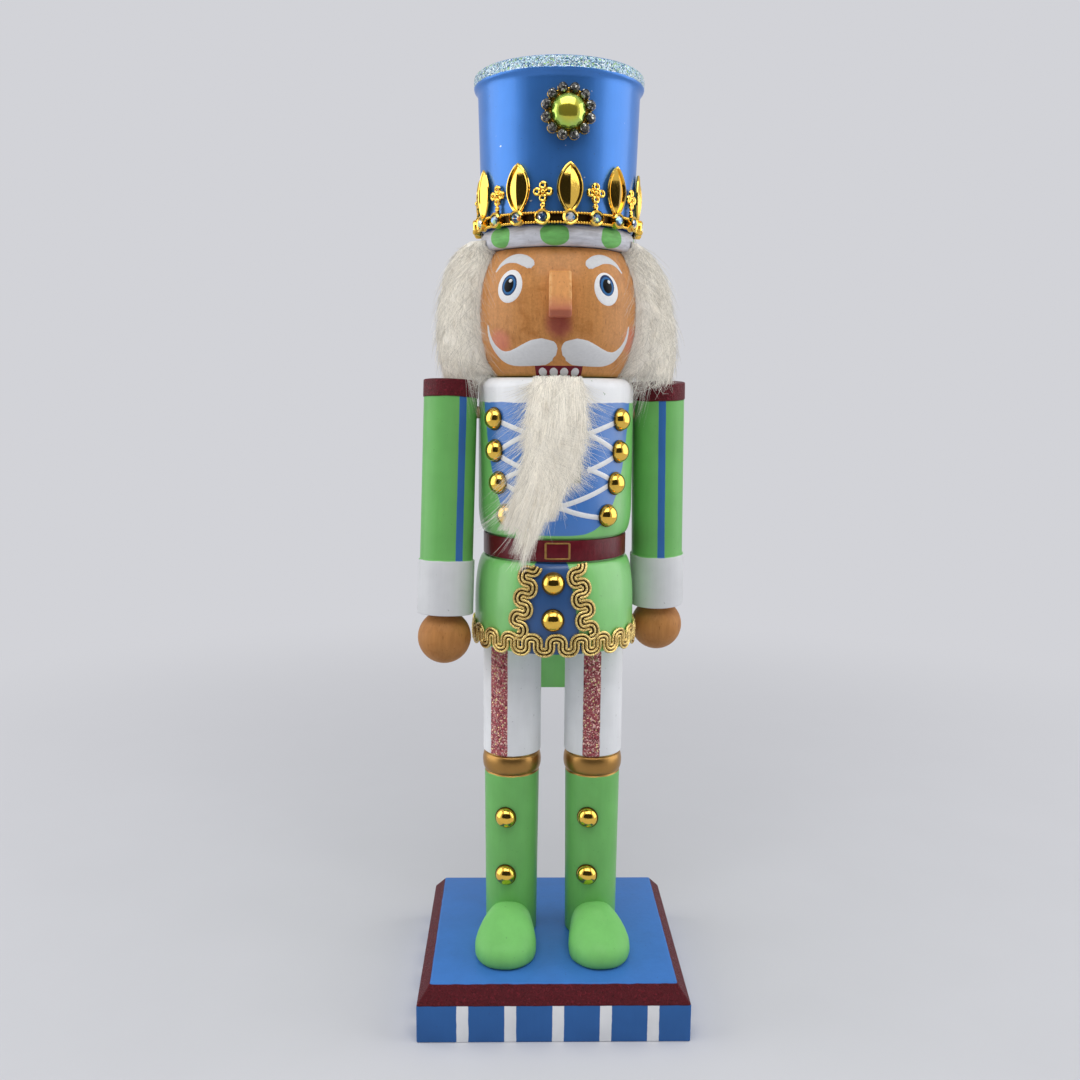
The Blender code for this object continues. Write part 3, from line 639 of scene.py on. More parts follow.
class NUTCRACKER_OT_legs(bpy.types.Operator):
    """Turned legs with glitter stripes and bronze knee rings, and the shoes in front of them"""
    bl_idname = "nutcracker.legs"
    bl_label = "Legs and shoes"

    def leg_finish(self, side, place, colours, sizes):
        boot_top = LEG_LOW.z + sizes.boot
        knee_top = boot_top + sizes.knee
        # The boots take the darker limb green: painted shade
        coat = Finish(side + "_leg_paint", Vector(colours.green) * LIMB_PAINTED_SHADE, 0.36, place=place)
        thigh = coat.ramp(coat.wobbly(coat.z, 0.5 * MM, 6 * MM), knee_top - 0.4 * MM, knee_top)
        coat.coat(thigh, colours.white, 0.42)
        height = coat.wobbly(coat.z, 0.35 * MM, 5 * MM)
        ring = coat.between(height, boot_top - 0.2 * MM, knee_top - 0.2 * MM, 0.15 * MM)
        coat.coat(ring, colours.bronze, 0.34, 0.85)
        brushed(coat)
        start, end = THIGH_STRIPES[side]
        across = coat.wobbly(coat.angle(), 1.2 * DEGREE, 4 * MM)
        stripe = coat.both(coat.between(across, start, end, 0.8 * DEGREE), thigh)
        # Pale flakes are painted glints and dark flakes painted shade; yellow flakes give another colour
        pink, dark, yellow = (0.95, 0.62, 0.55), (0.14, 0.02, 0.03), (0.95, 0.8, 0.4)
        glint_shade_and_tint_flakes = ((0.62, 0.95, pink), (0.25, 0.02, dark), (0.93, 0.97, yellow))
        coat.coat(stripe, glittered(coat, stripe, sizes.glitter, 1.1, colours.rose, glint_shade_and_tint_flakes), 0.3, 0.55)
        coat.bump(coat.math("MULTIPLY", coat.cells(sizes.glitter)[0], stripe), -0.25 * MM)
        return coat.done(specular_ior_level=SATIN, coat_weight=0.08, coat_roughness=0.2)

    def shoe(self, place, floor):
        """A clog with a broad blunt toe and a rounded instep, flat underneath."""
        half = Vector((13.8, 20, 13)) * MM
        shape = bmesh.new()
        bmesh.ops.create_uvsphere(shape, u_segments=40, v_segments=28, radius=1)
        for vertex in shape.verts:
            ahead = -vertex.co.y
            aside = math.copysign(abs(vertex.co.x) ** 0.86, vertex.co.x)
            narrow = 1 - 0.2 * smooth_step(-ahead, -0.5, 0.35)
            rise = 1.02 - 0.3 * smooth_step(ahead, -0.15, 0.75)
            level = math.copysign(abs(vertex.co.z) ** 0.88, vertex.co.z)
            vertex.co.x = aside * narrow * half.x
            vertex.co.y = -math.copysign(abs(ahead) ** 0.9, ahead) * half.y - 19 * MM
            vertex.co.z = max(level * half.z * rise + 4 * MM, 0) + floor
        bmesh.ops.remove_doubles(shape, verts=shape.verts, dist=0.02 * MM)
        bmesh.ops.recalc_face_normals(shape, faces=shape.faces)
        return moved(shape, place)

    def shoe_finish(self, colours):
        coat = Finish("shoe_paint", colours.green, 0.45)
        brushed(coat, 0.03 * MM)
        worn = coat.ramp(coat.noise(9 * MM, detail=4.0), 0.55, 0.85)
        coat.coat(coat.math("MULTIPLY", worn, 0.25), (0.32, 0.68, 0.26))
        return coat.done(specular_ior_level=SATIN)

    def execute(self, context):
        colours, sizes = settings(context)
        shoe_paint = self.shoe_finish(colours)
        for side, sign in SIDES:
            place = Matrix.Translation((sign * LEG_AXIS, 0, 0))
            leg = moved(turned(leg_profile(sizes), 64), place)
            material = self.leg_finish(side, place, colours, sizes)
            piece(side + "_leg_turned", leg, [material], [side + "_leg"])
            toe_out = Matrix.Rotation(sign * 5 * DEGREE, 4, "Z")
            shoe = self.shoe(place @ toe_out, LEG_LOW.z)
            piece(side + "_shoe_carved", shoe, [shoe_paint], [side + "_shoe"])
        return {"FINISHED"}


# Painted strokes on turned surfaces

def laid_on(shape, profile, radius, flatness):
    """A flat bmesh wrapped around a turned surface: X runs around it, Y up it and Z out of it."""
    for vertex in shape.verts:
        across, height, lift = vertex.co
        vertex.co = on_surface(profile, across / radius, height, lift * flatness)
    bmesh.ops.recalc_face_normals(shape, faces=shape.faces)
    return shape


def stroke(profile, stations, thickness, closed=False, sides=3):
    """A raised brush stroke through (angle, height, half width) stations."""
    radius = radius_at(profile, stations[0][1])[0]
    path = [((angle * radius, height, 0), half) for angle, height, half in stations]
    shape = tubes([path], sides, closed, "BEZIER", 8)
    return laid_on(shape, profile, radius, thickness / max(half for _, _, half in stations))


def dab(profile, angle, height, across, up, thickness, tilt=0.0):
    """A raised oval dab of paint."""
    radius = radius_at(profile, height)[0]
    shape = bmesh.new()
    bmesh.ops.create_uvsphere(shape, u_segments=36, v_segments=12, radius=1)
    lie = Matrix.Translation((angle * radius, height, 0)) @ Matrix.Rotation(tilt, 4, "Z")
    moved(shape, lie @ Matrix.Diagonal((across, up, thickness, 1)))
    return laid_on(shape, profile, radius, 1)


def paint_coat(name, colour, roughness=0.4):
    """Thick hand-laid paint for strokes and dabs."""
    coat = Finish(name, colour, roughness)
    drag = coat.noise(0.8 * MM, stretch=(0.4, 1, 1), detail=3.0)
    coat.tinted(drag, 0.94, 1.04)
    coat.bump(drag, 0.04 * MM)
    return coat.done(specular_ior_level=SATIN)


# Body, belt and lacing

def body_profile(sizes):
    top, bottom, skirt = BODY_HIGH.z, BODY_LOW.z, BODY_HIGH.x
    middle = (BELT_LOW.z + BELT_HIGH.z) / 2
    waist_top, waist_bottom = middle + 5 * MM, middle - 5 * MM
    edge = sizes.waist + 1.2 * MM
    shoulder = 4.5 * MM
    neck = arc((sizes.chest - shoulder, top - shoulder), (shoulder, shoulder), math.pi / 2, 0)
    chest = arc((edge, waist_top + 12 * MM), (sizes.chest - edge, 12 * MM), 0, -math.pi / 2)
    hip = arc((edge, waist_bottom - 20 * MM), (skirt - edge, 20 * MM), math.pi / 2, 0)
    waist = [(sizes.waist, waist_top), (sizes.waist, waist_bottom)]
    foot = [(skirt, bottom + 0.5 * MM), (skirt - 0.5 * MM, bottom), (0, bottom)]
    return [(0, top), *neck, *chest, *waist, *hip, *foot]


def coat_of_body(colours):
    """Green coat with a blue bib, a white collar, a blue skirt panel darkened as painted shade, and thin dark
    green paint inside the slot, its darkness painted shade.
    """
    collar = BODY_HIGH.z - 9.8 * MM
    bib_foot = BODY_HIGH.z - 61.8 * MM
    panel_top = BELT_LOW.z - 0.9 * MM
    coat = Finish("coat_paint", colours.green, 0.34)
    angle = coat.wobbly(coat.angle(), 1.0 * DEGREE, 6 * MM)
    height = coat.wobbly(coat.z, 0.5 * MM, 7 * MM)
    share = coat.math("MAXIMUM", coat.math("DIVIDE", coat.math("SUBTRACT", height, bib_foot), 53 * MM), 0.0)
    bib_edge = coat.math("MULTIPLY", coat.math("POWER", share, 0.263), 66 * DEGREE)
    inside = coat.math("SUBTRACT", bib_edge, coat.math("ABSOLUTE", angle))
    bib = coat.ramp(inside, -0.4 * DEGREE, 0.4 * DEGREE)
    bib = coat.both(bib, coat.ramp(coat.z, bib_foot, bib_foot + 0.3 * MM))
    coat.coat(bib, colours.blue, 0.36)
    white = coat.ramp(height, collar - 0.2 * MM, collar + 0.2 * MM)
    chips = coat.ramp(coat.noise(1.5 * MM, detail=4.0, distortion=0.8), 0.69, 0.72)
    coat.coat(white, colours.white, 0.45)
    coat.coat(coat.both(white, chips), Vector(colours.green) * 0.35)
    drop = coat.math("SUBTRACT", panel_top, coat.z)
    half = coat.math("MULTIPLY_ADD", drop, 0.281 * DEGREE / MM, 12.5 * DEGREE)
    off_middle = coat.math("ABSOLUTE", coat.math("ADD", angle, 4.2 * DEGREE))
    panel = coat.ramp(coat.math("SUBTRACT", half, off_middle), -0.4 * DEGREE, 0.4 * DEGREE)
    panel = coat.both(panel, coat.ramp(coat.z, BELT_LOW.z + 0.5 * MM, BELT_LOW.z))
    # The skirt panel takes a darker copy of the bib's blue: painted shade
    coat.coat(panel, Vector(colours.blue) * 0.48, 0.34)
    brushed(coat)
    inside_slot = coat.ramp(coat.reach(), 28.6 * MM, 28.2 * MM)
    above_waist = coat.ramp(coat.z, 203 * MM, 204 * MM)
    # Green inside the slot, darkened as painted shade in the recess
    coat.coat(coat.both(inside_slot, above_waist), Vector(colours.green) * 0.4, 0.6)
    return coat.done(coat_weight=0.3, coat_roughness=0.15)


LACES_RIGHT = (
    ((48, 246.8), (39, 245.3), (19.5, 241.8)), ((19.5, 242.6), (39.4, 237.1), (46, 234.8)),
    ((48, 233.6), (39.7, 231.6), (21.1, 227.6)), ((21.1, 228.6), (40, 224.2), (44, 222.6)),
    ((42, 222.2), (18, 216.8), (-3, 213.0)), ((-4, 214.6), (14, 211.0), (36, 208.6)))


class NUTCRACKER_OT_body(bpy.types.Operator):
    """Turned body with its lever slot, the belt and the painted lacing"""
    bl_idname = "nutcracker.body"
    bl_label = "Body and belt"

    def slot_cutters(self):
        play, bore_radius = 0.4 * MM, 1.7 * MM
        front, bend, back = -36 * MM, 9 * MM, 37 * MM
        top, back_floor = BODY_HIGH.z + 3 * MM, PIN_HEIGHT - 25.5 * MM
        outline = [(front, top), (front, SLOT_FLOOR), (bend, SLOT_FLOOR), (back, back_floor), (back, top)]
        slot = slab(outline, JAW_WIDTH + 2 * play)
        bore = bmesh.new()
        lie = Matrix.Translation((0, 0, PIN_HEIGHT)) @ Matrix.Rotation(math.pi / 2, 4, "Y")
        bmesh.ops.create_cone(bore, cap_ends=True, segments=24, radius1=bore_radius, radius2=bore_radius,
                              depth=90 * MM, matrix=lie)
        return [slot, bore]

    def belt(self, colours, sizes):
        inner, outer = sizes.waist + 0.2 * MM, BELT_HIGH.x
        ring = [(inner, BELT_HIGH.z), (outer, BELT_HIGH.z), (outer, BELT_LOW.z), (inner, BELT_LOW.z)]
        edge = [(inner, BELT_HIGH.z), *eased(ring + ring[:1], 0.5 * MM)[1:-1]]
        coat = Finish("belt_paint", colours.maroon, 0.3)
        crackle = coat.noise(1.6 * MM, stretch=(1, 1, 0.5), detail=4.0)
        coat.tinted(crackle, 0.8, 1.35)
        worn = coat.ramp(coat.noise(3 * MM, detail=3.0), 0.62, 0.75)
        coat.coat(coat.math("MULTIPLY", worn, 0.3), (0.19, 0.03, 0.03))
        coat.bump(crackle, 0.12 * MM)
        material = coat.done(specular_ior_level=SATIN, coat_weight=0.12, coat_roughness=0.15)
        piece("belt_strap", turned(edge, 72, ring=True), [material], ["belt"])

    def buckle(self, colours):
        outer = [(BELT_HIGH.x, BELT_HIGH.z + 3 * MM), (BELT_HIGH.x, BELT_LOW.z - 3 * MM)]
        low, high = BELT_LOW.z + 1.3 * MM, BELT_HIGH.z - 1.1 * MM
        left, right = -8.6 * DEGREE, 9.4 * DEGREE
        bars = [[(angle, low, 0.45 * MM), (angle, high, 0.45 * MM)] for angle in (left, right)]
        bars += [[(left, height, 0.35 * MM), (right, height, 0.35 * MM)] for height in (low, high)]
        shape = joined(*[stroke(outer, bar, 0.3 * MM) for bar in bars])
        coat = Finish("buckle_paint", colours.bronze, 0.4, 0.5)
        coat.tinted(coat.noise(1.5 * MM), 0.6, 1.2)
        piece("belt_buckle_paint", shape, [coat.done()])

    def lacing(self, colours, sizes):
        profile = body_profile(sizes)
        half = sizes.lace / 2
        laces = []
        for mirror in (1, -1):
            for points in LACES_RIGHT:
                stations = [(mirror * angle * DEGREE, height * MM, half) for angle, height in points]
                laces.append(stroke(profile, stations, 0.22 * MM))
        shape = joined(*laces)
        front, low, high = -40 * MM, SLOT_FLOOR, BODY_HIGH.z
        room = slab([(front, low), (0, low), (0, high), (front, high)], JAW_WIDTH + 1.2 * MM)
        shape = carved(shape, [room])
        piece("chest_lacing", shape, [paint_coat("lacing_paint", colours.white)])

    def execute(self, context):
        colours, sizes = settings(context)
        shape = carved(turned(body_profile(sizes), 96), self.slot_cutters())
        piece("body_turned", shape, [coat_of_body(colours)], ["body"], sharp=30 * DEGREE)
        self.belt(colours, sizes)
        self.buckle(colours)
        self.lacing(colours, sizes)
        return {"FINISHED"}


# Jaw lever

class NUTCRACKER_OT_jaw(bpy.types.Operator):
    """Lever with the jaw at its front end and the tail at its back"""
    bl_idname = "nutcracker.jaw"
    bl_label = "Jaw lever"

    def outline(self):
        """Side view of the lever about the pin, with spare wood in front of the chest.

        The lower front corner is cut back, so that it clears the floor of the slot when the mouth is open.
        """
        top = BODY_HIGH.z - PIN_HEIGHT
        tail = JAW_LOW.z - PIN_HEIGHT
        back = JAW_HIGH.y
        front = back - 8.5 * MM
        points = [(-36, None), (-36, -0.2), (-30.6, -1.6), (-9, -9), (4.5, -9)]
        outline = [(along * MM, top if height is None else height * MM) for along, height in points]
        outline += [(front, -25 * MM), (front, tail), (back, tail), (back, -11.75 * MM),
                    (back - 4.25 * MM, -4.25 * MM), (9 * MM, 13.25 * MM), (0, top)]
        return [(along, height + PIN_HEIGHT) for along, height in outline]

    def block(self, low, high):
        shape = bmesh.new()
        low, high = Vector(low), Vector(high)
        place = Matrix.Translation((low + high) / 2) @ Matrix.Diagonal((*(high - low), 1))
        bmesh.ops.create_cube(shape, size=1, matrix=place)
        return shape

    def execute(self, context):
        colours, sizes = settings(context)
        top = BODY_HIGH.z
        lever = softened(slab(self.outline(), JAW_WIDTH), 0.5 * MM, 2, 20 * DEGREE)
        ahead = self.block((-20 * MM, -50 * MM, PIN_HEIGHT - 4 * MM), (20 * MM, -14 * MM, top + 6 * MM))
        chest = [(radius - 0.1 * MM if radius else 0, height) for radius, height in body_profile(sizes)]
        ahead = carved(ahead, [turned(chest, 96)])
        hollow = self.block((-6 * MM, -25.8 * MM, top - 6.5 * MM), (6 * MM, -8.8 * MM, top + 6 * MM))
        shape = carved(lever, [ahead, softened(hollow, 1.5 * MM, 3)])
        piece("jaw_lever_painted", shape, [coat_of_body(colours)], ["jaw_lever"], "jaw",
              sharp=30 * DEGREE)
        return {"FINISHED"}


# Arms and hands

ARM_STRIPES = {"right": (15 * DEGREE, 32 * DEGREE), "left": (-14 * DEGREE, 2 * DEGREE)}


def arm_place(sign):
    """Frame of an arm, with its origin at the shoulder dowel."""
    shoulders = Matrix.Translation((0, 0, BODY_HIGH.z - 13.8 * MM)) @ Matrix.Rotation(8 * DEGREE, 4, "Z")
    lean = Matrix.Rotation(-sign * 2.007 * DEGREE, 4, "Y") @ Matrix.Rotation(sign * 4 * DEGREE, 4, "X")
    return shoulders @ Matrix.Translation((sign * 43.8 * MM, 0, 0)) @ lean


class NUTCRACKER_OT_arms(bpy.types.Operator):
    """Turned arms with maroon caps, blue stripes and white cuffs, and the ball hands"""
    bl_idname = "nutcracker.arms"
    bl_label = "Arms and hands"

    def finish(self, side, place, colours):
        # Painted shade: the sleeves, stripes and cuffs are darker copies of the body's green, blue and white
        coat = Finish(side + "_arm_paint", Vector(colours.green) * LIMB_PAINTED_SHADE, 0.36, place=place)
        height = coat.wobbly(coat.z, 0.4 * MM, 6 * MM)
        start, end = ARM_STRIPES[side]
        stripe = coat.between(coat.wobbly(coat.angle(), 0.8 * DEGREE, 9 * MM), start, end, 0.6 * DEGREE)
        coat.coat(stripe, Vector(colours.blue) * 0.75, 0.36)
        cuff = coat.ramp(height, -60.5 * MM, -60.9 * MM)
        coat.coat(cuff, Vector(colours.white) * LIMB_PAINTED_SHADE, 0.46)
        cap = coat.ramp(height, 5.3 * MM, 5.7 * MM)
        coat.coat(cap, colours.maroon, 0.5)
        brushed(coat)
        stippled(coat, cap, colours.maroon)
        return coat.done(specular_ior_level=SATIN, coat_weight=0.08, coat_roughness=0.15)

    def hand_finish(self, side, place, colours):
        # The hands take a darker copy of the head's stain: painted shade
        coat = Finish(side + "_hand_stain", Vector(colours.tan) * 0.8, 0.48, place=place)
        grained(coat, (0.36, 0.14, 0.038), (0.12, 0.045, 0.012))
        return coat.done(specular_ior_level=SATIN)

    def execute(self, context):
        colours = context.scene.nutcracker_colours
        cap = [(0, 12.5), (10.9, 12.5), (11.2, 12.2), (11.2, 5.6), (10.9, 5.4)]
        cuff = [(10.9, -60.5), (11.6, -60.7), (11.6, -83), (0, -83)]
        arm = eased(in_mm(cap + cuff), 0.5 * MM)
        ball = arc((0, -92.9), (11, 11), math.asin(9.6 / 11), -math.pi / 2, 24)
        hand = in_mm([(0, -83.3), *ball[:-1], (0, -103.9)])
        for side, sign in SIDES:
            place = arm_place(sign)
            material = self.finish(side, place, colours)
            shape = moved(turned(arm, 64), place)
            piece(side + "_arm_turned", shape, [material], [side + "_arm"])
            stain = self.hand_finish(side, place, colours)
            shape = moved(turned(hand, 56), place)
            piece(side + "_hand_ball", shape, [stain], [side + "_hand"])
        return {"FINISHED"}


# Head, nose and painted face

MOUSTACHE = ((1.8, 273.4, 1.3), (4.4, 273.7, 3.6), (11, 273.5, 5.0), (17.5, 273.0, 4.9), (24, 272.2, 4.2),
             (31, 271.4, 3.4), (38, 271.1, 2.7), (44.2, 271.9, 2.1), (48.6, 273.7, 1.6), (52.4, 276.3, 1.15),
             (54.9, 279.6, 0.8), (55.8, 283.8, 0.4))
BROW = ((51.6, 304.2, 0.35), (46.3, 307.4, 1.0), (36.2, 308.9, 1.7), (27, 307.9, 2.1), (21.5, 306.3, 1.9),
        (19.6, 305.4, 0.9))
BLUSH = ((-45, 277.0), (61, 279.0))
TEETH = (-12.6, -4.0, 4.2, 12.9)


def head_profile():
    """A barrel, fuller in the middle."""
    end, swell, steps = 27 * MM, 6.6 * MM, 24
    side = []
    for step in range(steps + 1):
        share = step / steps
        radius = end + swell * (1 - abs(2 * share - 1) ** 2.4)
        side.append((radius, HEAD_HIGH.z - (HEAD_HIGH.z - HEAD_LOW.z) * share))
    return eased([(0, HEAD_HIGH.z), *side, (0, HEAD_LOW.z)], 0.5 * MM)


class NUTCRACKER_OT_head(bpy.types.Operator):
    """Stained head with its nose, eyes, brows, moustache and painted teeth"""
    bl_idname = "nutcracker.head"
    bl_label = "Head and face"

    def head_finish(self, colours):
        coat = Finish("head_stain", colours.tan, 0.36)
        grained(coat, (0.40, 0.155, 0.04), (0.13, 0.05, 0.014))
        stipple = coat.noise(0.9 * MM, detail=3.0, roughness=0.7)
        coat.tinted(stipple, 0.82, 1.12)
        coat.bump(stipple, 0.06 * MM)
        radius = 32 * MM
        across = coat.math("MULTIPLY", coat.angle(), radius)
        spots = [(angle, height, 7, 6.5, 0.6, (0.60, 0.15, 0.12)) for angle, height in BLUSH]
        # Painted shadow under the nose, in a dark rose
        spots.append((-0.5, 284.2, 6.5, 7.5, 0.75, (0.32, 0.05, 0.06)))
        for angle, height, wide, tall, strength, tint in spots:
            aside = coat.math("DIVIDE", coat.math("SUBTRACT", across, angle * DEGREE * radius), wide * MM)
            above = coat.math("DIVIDE", coat.math("SUBTRACT", coat.z, height * MM), tall * MM)
            mist = coat.ramp(coat.wobbly(coat.squares(aside, above), 0.2, 2 * MM), 1.0, 0.0)
            coat.coat(coat.math("MULTIPLY", mist, strength), tint)
        return coat.done(specular_ior_level=SATIN, coat_weight=0.12, coat_roughness=0.15)

    def nose(self, colours, profile):
        low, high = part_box("nose")
        back = -24 * MM
        top_front = -radius_at(profile, high.z)[0] - 2.2 * MM
        tip = [(low.y, low.z + 2.2 * MM), (low.y + 2.2 * MM, low.z)]
        outline = [(back, high.z), (top_front, high.z), *tip, (back, low.z)]
        shape = softened(slab(outline, high.x - low.x), 0.7 * MM, 3, 20 * DEGREE)
        coat = Finish("nose_stain", Vector(colours.tan) * 1.2, 0.4)
        grained(coat, (0.46, 0.2, 0.06), (0.16, 0.06, 0.016))
        # Lighter wood in patches along the side edges: painted highlight on the bevels, together with wear
        edge_highlight_and_wear = coat.ramp(coat.math("ABSOLUTE", coat.x), high.x - 1.5 * MM, high.x - 0.4 * MM)
        worn = coat.ramp(coat.noise(1.8 * MM, detail=3.0), 0.35, 0.6)
        coat.coat(coat.math("MULTIPLY", coat.both(edge_highlight_and_wear, worn), 0.7), (0.80, 0.47, 0.2))
        tip_mask = coat.ramp(coat.wobbly(coat.z, 1.6 * MM, 5 * MM), low.z + 9 * MM, low.z + 1 * MM)
        coat.coat(coat.math("MULTIPLY", tip_mask, 0.75), (0.40, 0.09, 0.08))
        piece("nose_block", shape, [coat.done(specular_ior_level=SATIN)], ["nose"])

    def eyes(self, profile):
        layers = (("eye_white", (0.80, 0.80, 0.81), 5.7, 6.3, 0.35),
                  ("eye_outline", (0.012, 0.03, 0.1), 4.1, 4.75, 0.5),
                  ("eye_iris", (0.035, 0.14, 0.34), 3.65, 4.25, 0.6),
                  ("eye_pupil", (0.002, 0.002, 0.003), 2.6, 3.2, 0.85))
        spots = ((-35.8, 298.2, 0.3, -9 * DEGREE), (33.4, 297.4, 1.0, 9 * DEGREE))
        for name, colour, across, up, thickness in layers:
            lift = 0 if name == "eye_white" else 1
            dabs = []
            for angle, height, raised, tilt in spots:
                level = (height + lift * raised) * MM
                dabs.append(dab(profile, angle * DEGREE, level, across * MM, up * MM, thickness * MM, tilt))
            piece(name, joined(*dabs), [paint_coat(name + "_paint", colour, 0.55)])
        glints = []
        for angle, height, raised, _ in spots:
            level = (height + raised + 1.5) * MM
            glints.append(dab(profile, (angle + 1.2) * DEGREE, level, 0.9 * MM, 0.9 * MM, 1.1 * MM))
        glint = paint_coat("glint_paint", (0.85, 0.86, 0.86), 0.25)
        piece("eye_glint", joined(*glints), [glint])

    def white_strokes(self, profile):
        paint_white = paint_coat("face_white_paint", (0.64, 0.645, 0.66))
        for name, stations, thickness in (("moustache_paint", MOUSTACHE, 0.45), ("brow_paint", BROW, 0.3)):
            strokes = []
            for mirror in (1, -1):
                points = []
                for angle, height, half in stations:
                    points.append((mirror * angle * DEGREE, height * MM, half * MM))
                strokes.append(stroke(profile, points, thickness * MM, sides=5))
            piece(name, joined(*strokes), [paint_white])

    def mouth(self, profile):
        lips = [(side * 18.4 * DEGREE, HEAD_LOW.z + 2.1 * MM, 2.05 * MM) for side in (-1, 0, 1)]
        maroon = paint_coat("mouth_maroon", (0.15, 0.012, 0.022))
        piece("mouth_paint", stroke(profile, lips, 0.2 * MM), [maroon])
        half, level = 1.75 * MM, HEAD_LOW.z + 1.8 * MM
        teeth = [dab(profile, angle * DEGREE, level, half, half, 0.42 * MM) for angle in TEETH]
        white = paint_coat("teeth_white", (0.62, 0.6, 0.62))
        piece("teeth_paint", joined(*teeth), [white])

    def execute(self, context):
        colours = context.scene.nutcracker_colours
        profile = head_profile()
        piece("head_barrel", turned(profile, 96), [self.head_finish(colours)], ["head"])
        self.nose(colours, profile)
        self.eyes(profile)
        self.white_strokes(profile)
        self.mouth(profile)
        return {"FINISHED"}


# Hat band and hat

def hat_profile():
    rim, rim_bottom = HAT_HIGH.x, HAT_HIGH.z - 5 * MM
    top = [(0, HAT_HIGH.z), (rim - 0.9 * MM, HAT_HIGH.z), (rim, HAT_HIGH.z - 0.8 * MM), (rim, rim_bottom)]
    cove = [(32.5 * MM, rim_bottom - 1.4 * MM), (32.2 * MM, rim_bottom - 3 * MM)]
    foot = [(30.6 * MM, HAT_LOW.z), (0, HAT_LOW.z)]
    return eased(top + cove + foot, 0.8 * MM)


class NUTCRACKER_OT_hat(bpy.types.Operator):
    """Hat in metallic lacquer with a glitter rim, on a white roll with green dots"""
    bl_idname = "nutcracker.hat"
    bl_label = "Hat and band"

    def hat_finish(self, colours, sizes):
        coat = Finish("hat_lacquer", Vector(colours.blue) * 1.1, 0.32, 0.45)
        brushed(coat, 0.02 * MM)
        speck = coat.ramp(coat.noise(1.4 * MM, detail=0.0), 0.86, 0.88)
        coat.coat(coat.math("MULTIPLY", speck, 0.8), (0.8, 0.82, 0.85))
        height = coat.wobbly(coat.z, 0.35 * MM, 3 * MM)
        low, high = HAT_HIGH.z - 4.4 * MM, HAT_HIGH.z - 0.4 * MM
        outside = coat.ramp(coat.reach(), 31.5 * MM, 32 * MM)
        band = coat.both(coat.between(height, low, high, 0.25 * MM), outside)
        # Pale flakes are painted glints and dark flakes painted shade; green flakes give another colour
        pale, dark, green = (0.78, 0.86, 0.9), (0.05, 0.16, 0.3), (0.35, 0.6, 0.2)
        glint_shade_and_tint_flakes = ((0.45, 0.9, pale), (0.35, 0.05, dark), (0.84, 0.95, green))
        coat.coat(band, glittered(coat, band, sizes.glitter, 1.2, colours.silver, glint_shade_and_tint_flakes), 0.28, 0.6)
        coat.bump(coat.math("MULTIPLY", coat.cells(sizes.glitter)[0], band), -0.3 * MM)
        return coat.done(specular_ior_level=0.3, coat_weight=0.12, coat_roughness=0.1)

    def band_finish(self, colours):
        # The white band is greyed and tinted lavender: painted shade under the hat and crown
        coat = Finish("hat_band_paint", (0.68, 0.69, 0.75), 0.5)
        step, squareness = 45 * DEGREE, 2.5
        shifted = coat.math("ADD", coat.wobbly(coat.angle(), 1.6 * DEGREE, 7 * MM), step / 2 + 4 * DEGREE)
        offset = coat.math("SUBTRACT", coat.math("FLOORED_MODULO", shifted, step), step / 2)
        aside = coat.math("DIVIDE", offset, 10.2 * DEGREE)
        middle = (BAND_LOW.z + BAND_HIGH.z) / 2
        above = coat.math("DIVIDE", coat.math("SUBTRACT", coat.z, middle), 3.9 * MM)
        spread = coat.math("ADD", coat.math("POWER", coat.math("ABSOLUTE", aside), squareness),
                           coat.math("POWER", coat.math("ABSOLUTE", above), squareness))
        coat.coat(coat.ramp(spread, 1.06, 0.94), colours.green, 0.45)
        brushed(coat)
        drag = coat.noise(1.2 * MM, stretch=(0.25, 0.25, 1.2), detail=4.0)
        coat.tinted(drag, 0.72, 1.1)
        coat.bump(drag, 0.25 * MM)
        return coat.done(specular_ior_level=SATIN)

    def execute(self, context):
        colours, sizes = settings(context)
        middle, half = (BAND_LOW.z + BAND_HIGH.z) / 2, (BAND_HIGH.z - BAND_LOW.z) / 2
        roll = arc((BAND_HIGH.x - 2.6 * MM, middle), (2.6 * MM, half), math.pi / 2, -math.pi / 2, 16)
        shape = turned([(0, BAND_HIGH.z), *roll, (0, BAND_LOW.z)], 96)
        piece("hat_band_roll", shape, [self.band_finish(colours)], ["hat_band"])
        lacquer = self.hat_finish(colours, sizes)
        piece("hat_turned", turned(hat_profile(), 96), [lacquer], ["hat"])
        return {"FINISHED"}


# Plated trim: crown, medallion and studs

def plated(name, colour, roughness=0.13, tarnish=0.35):
    """Bright metal plating with small dents and darker tarnish in patches."""
    coat = Finish(name, colour, roughness, 1.0)
    patch = coat.noise(3.0 * MM, detail=4.0)
    coat.coat(coat.math("MULTIPLY", coat.ramp(patch, 0.5, 0.8), tarnish), Vector(colour) * 0.45)
    coat.roughness = coat.math("MULTIPLY_ADD", patch, 0.12, roughness - 0.04)
    coat.bump(coat.noise(1.6 * MM, detail=2.0), 0.03 * MM)
    return coat.done()


def ring_path(radius, steps=12, thick=0.4 * MM, centre=(0, 0)):
    """Closed round path in the XY plane."""
    path = []
    for step in range(steps):
        angle = 2 * math.pi * step / steps
        spot = (centre[0] + radius * math.cos(angle), centre[1] + radius * math.sin(angle), 0)
        path.append((spot, thick))
    return path


def facing(angle, radius, height):
    """Frame on an upright cylinder: X across, Y up and Z outward."""
    return (Matrix.Rotation(angle, 4, "Z") @ Matrix.Translation((0, -radius, height))
            @ Matrix.Rotation(math.pi / 2, 4, "X"))


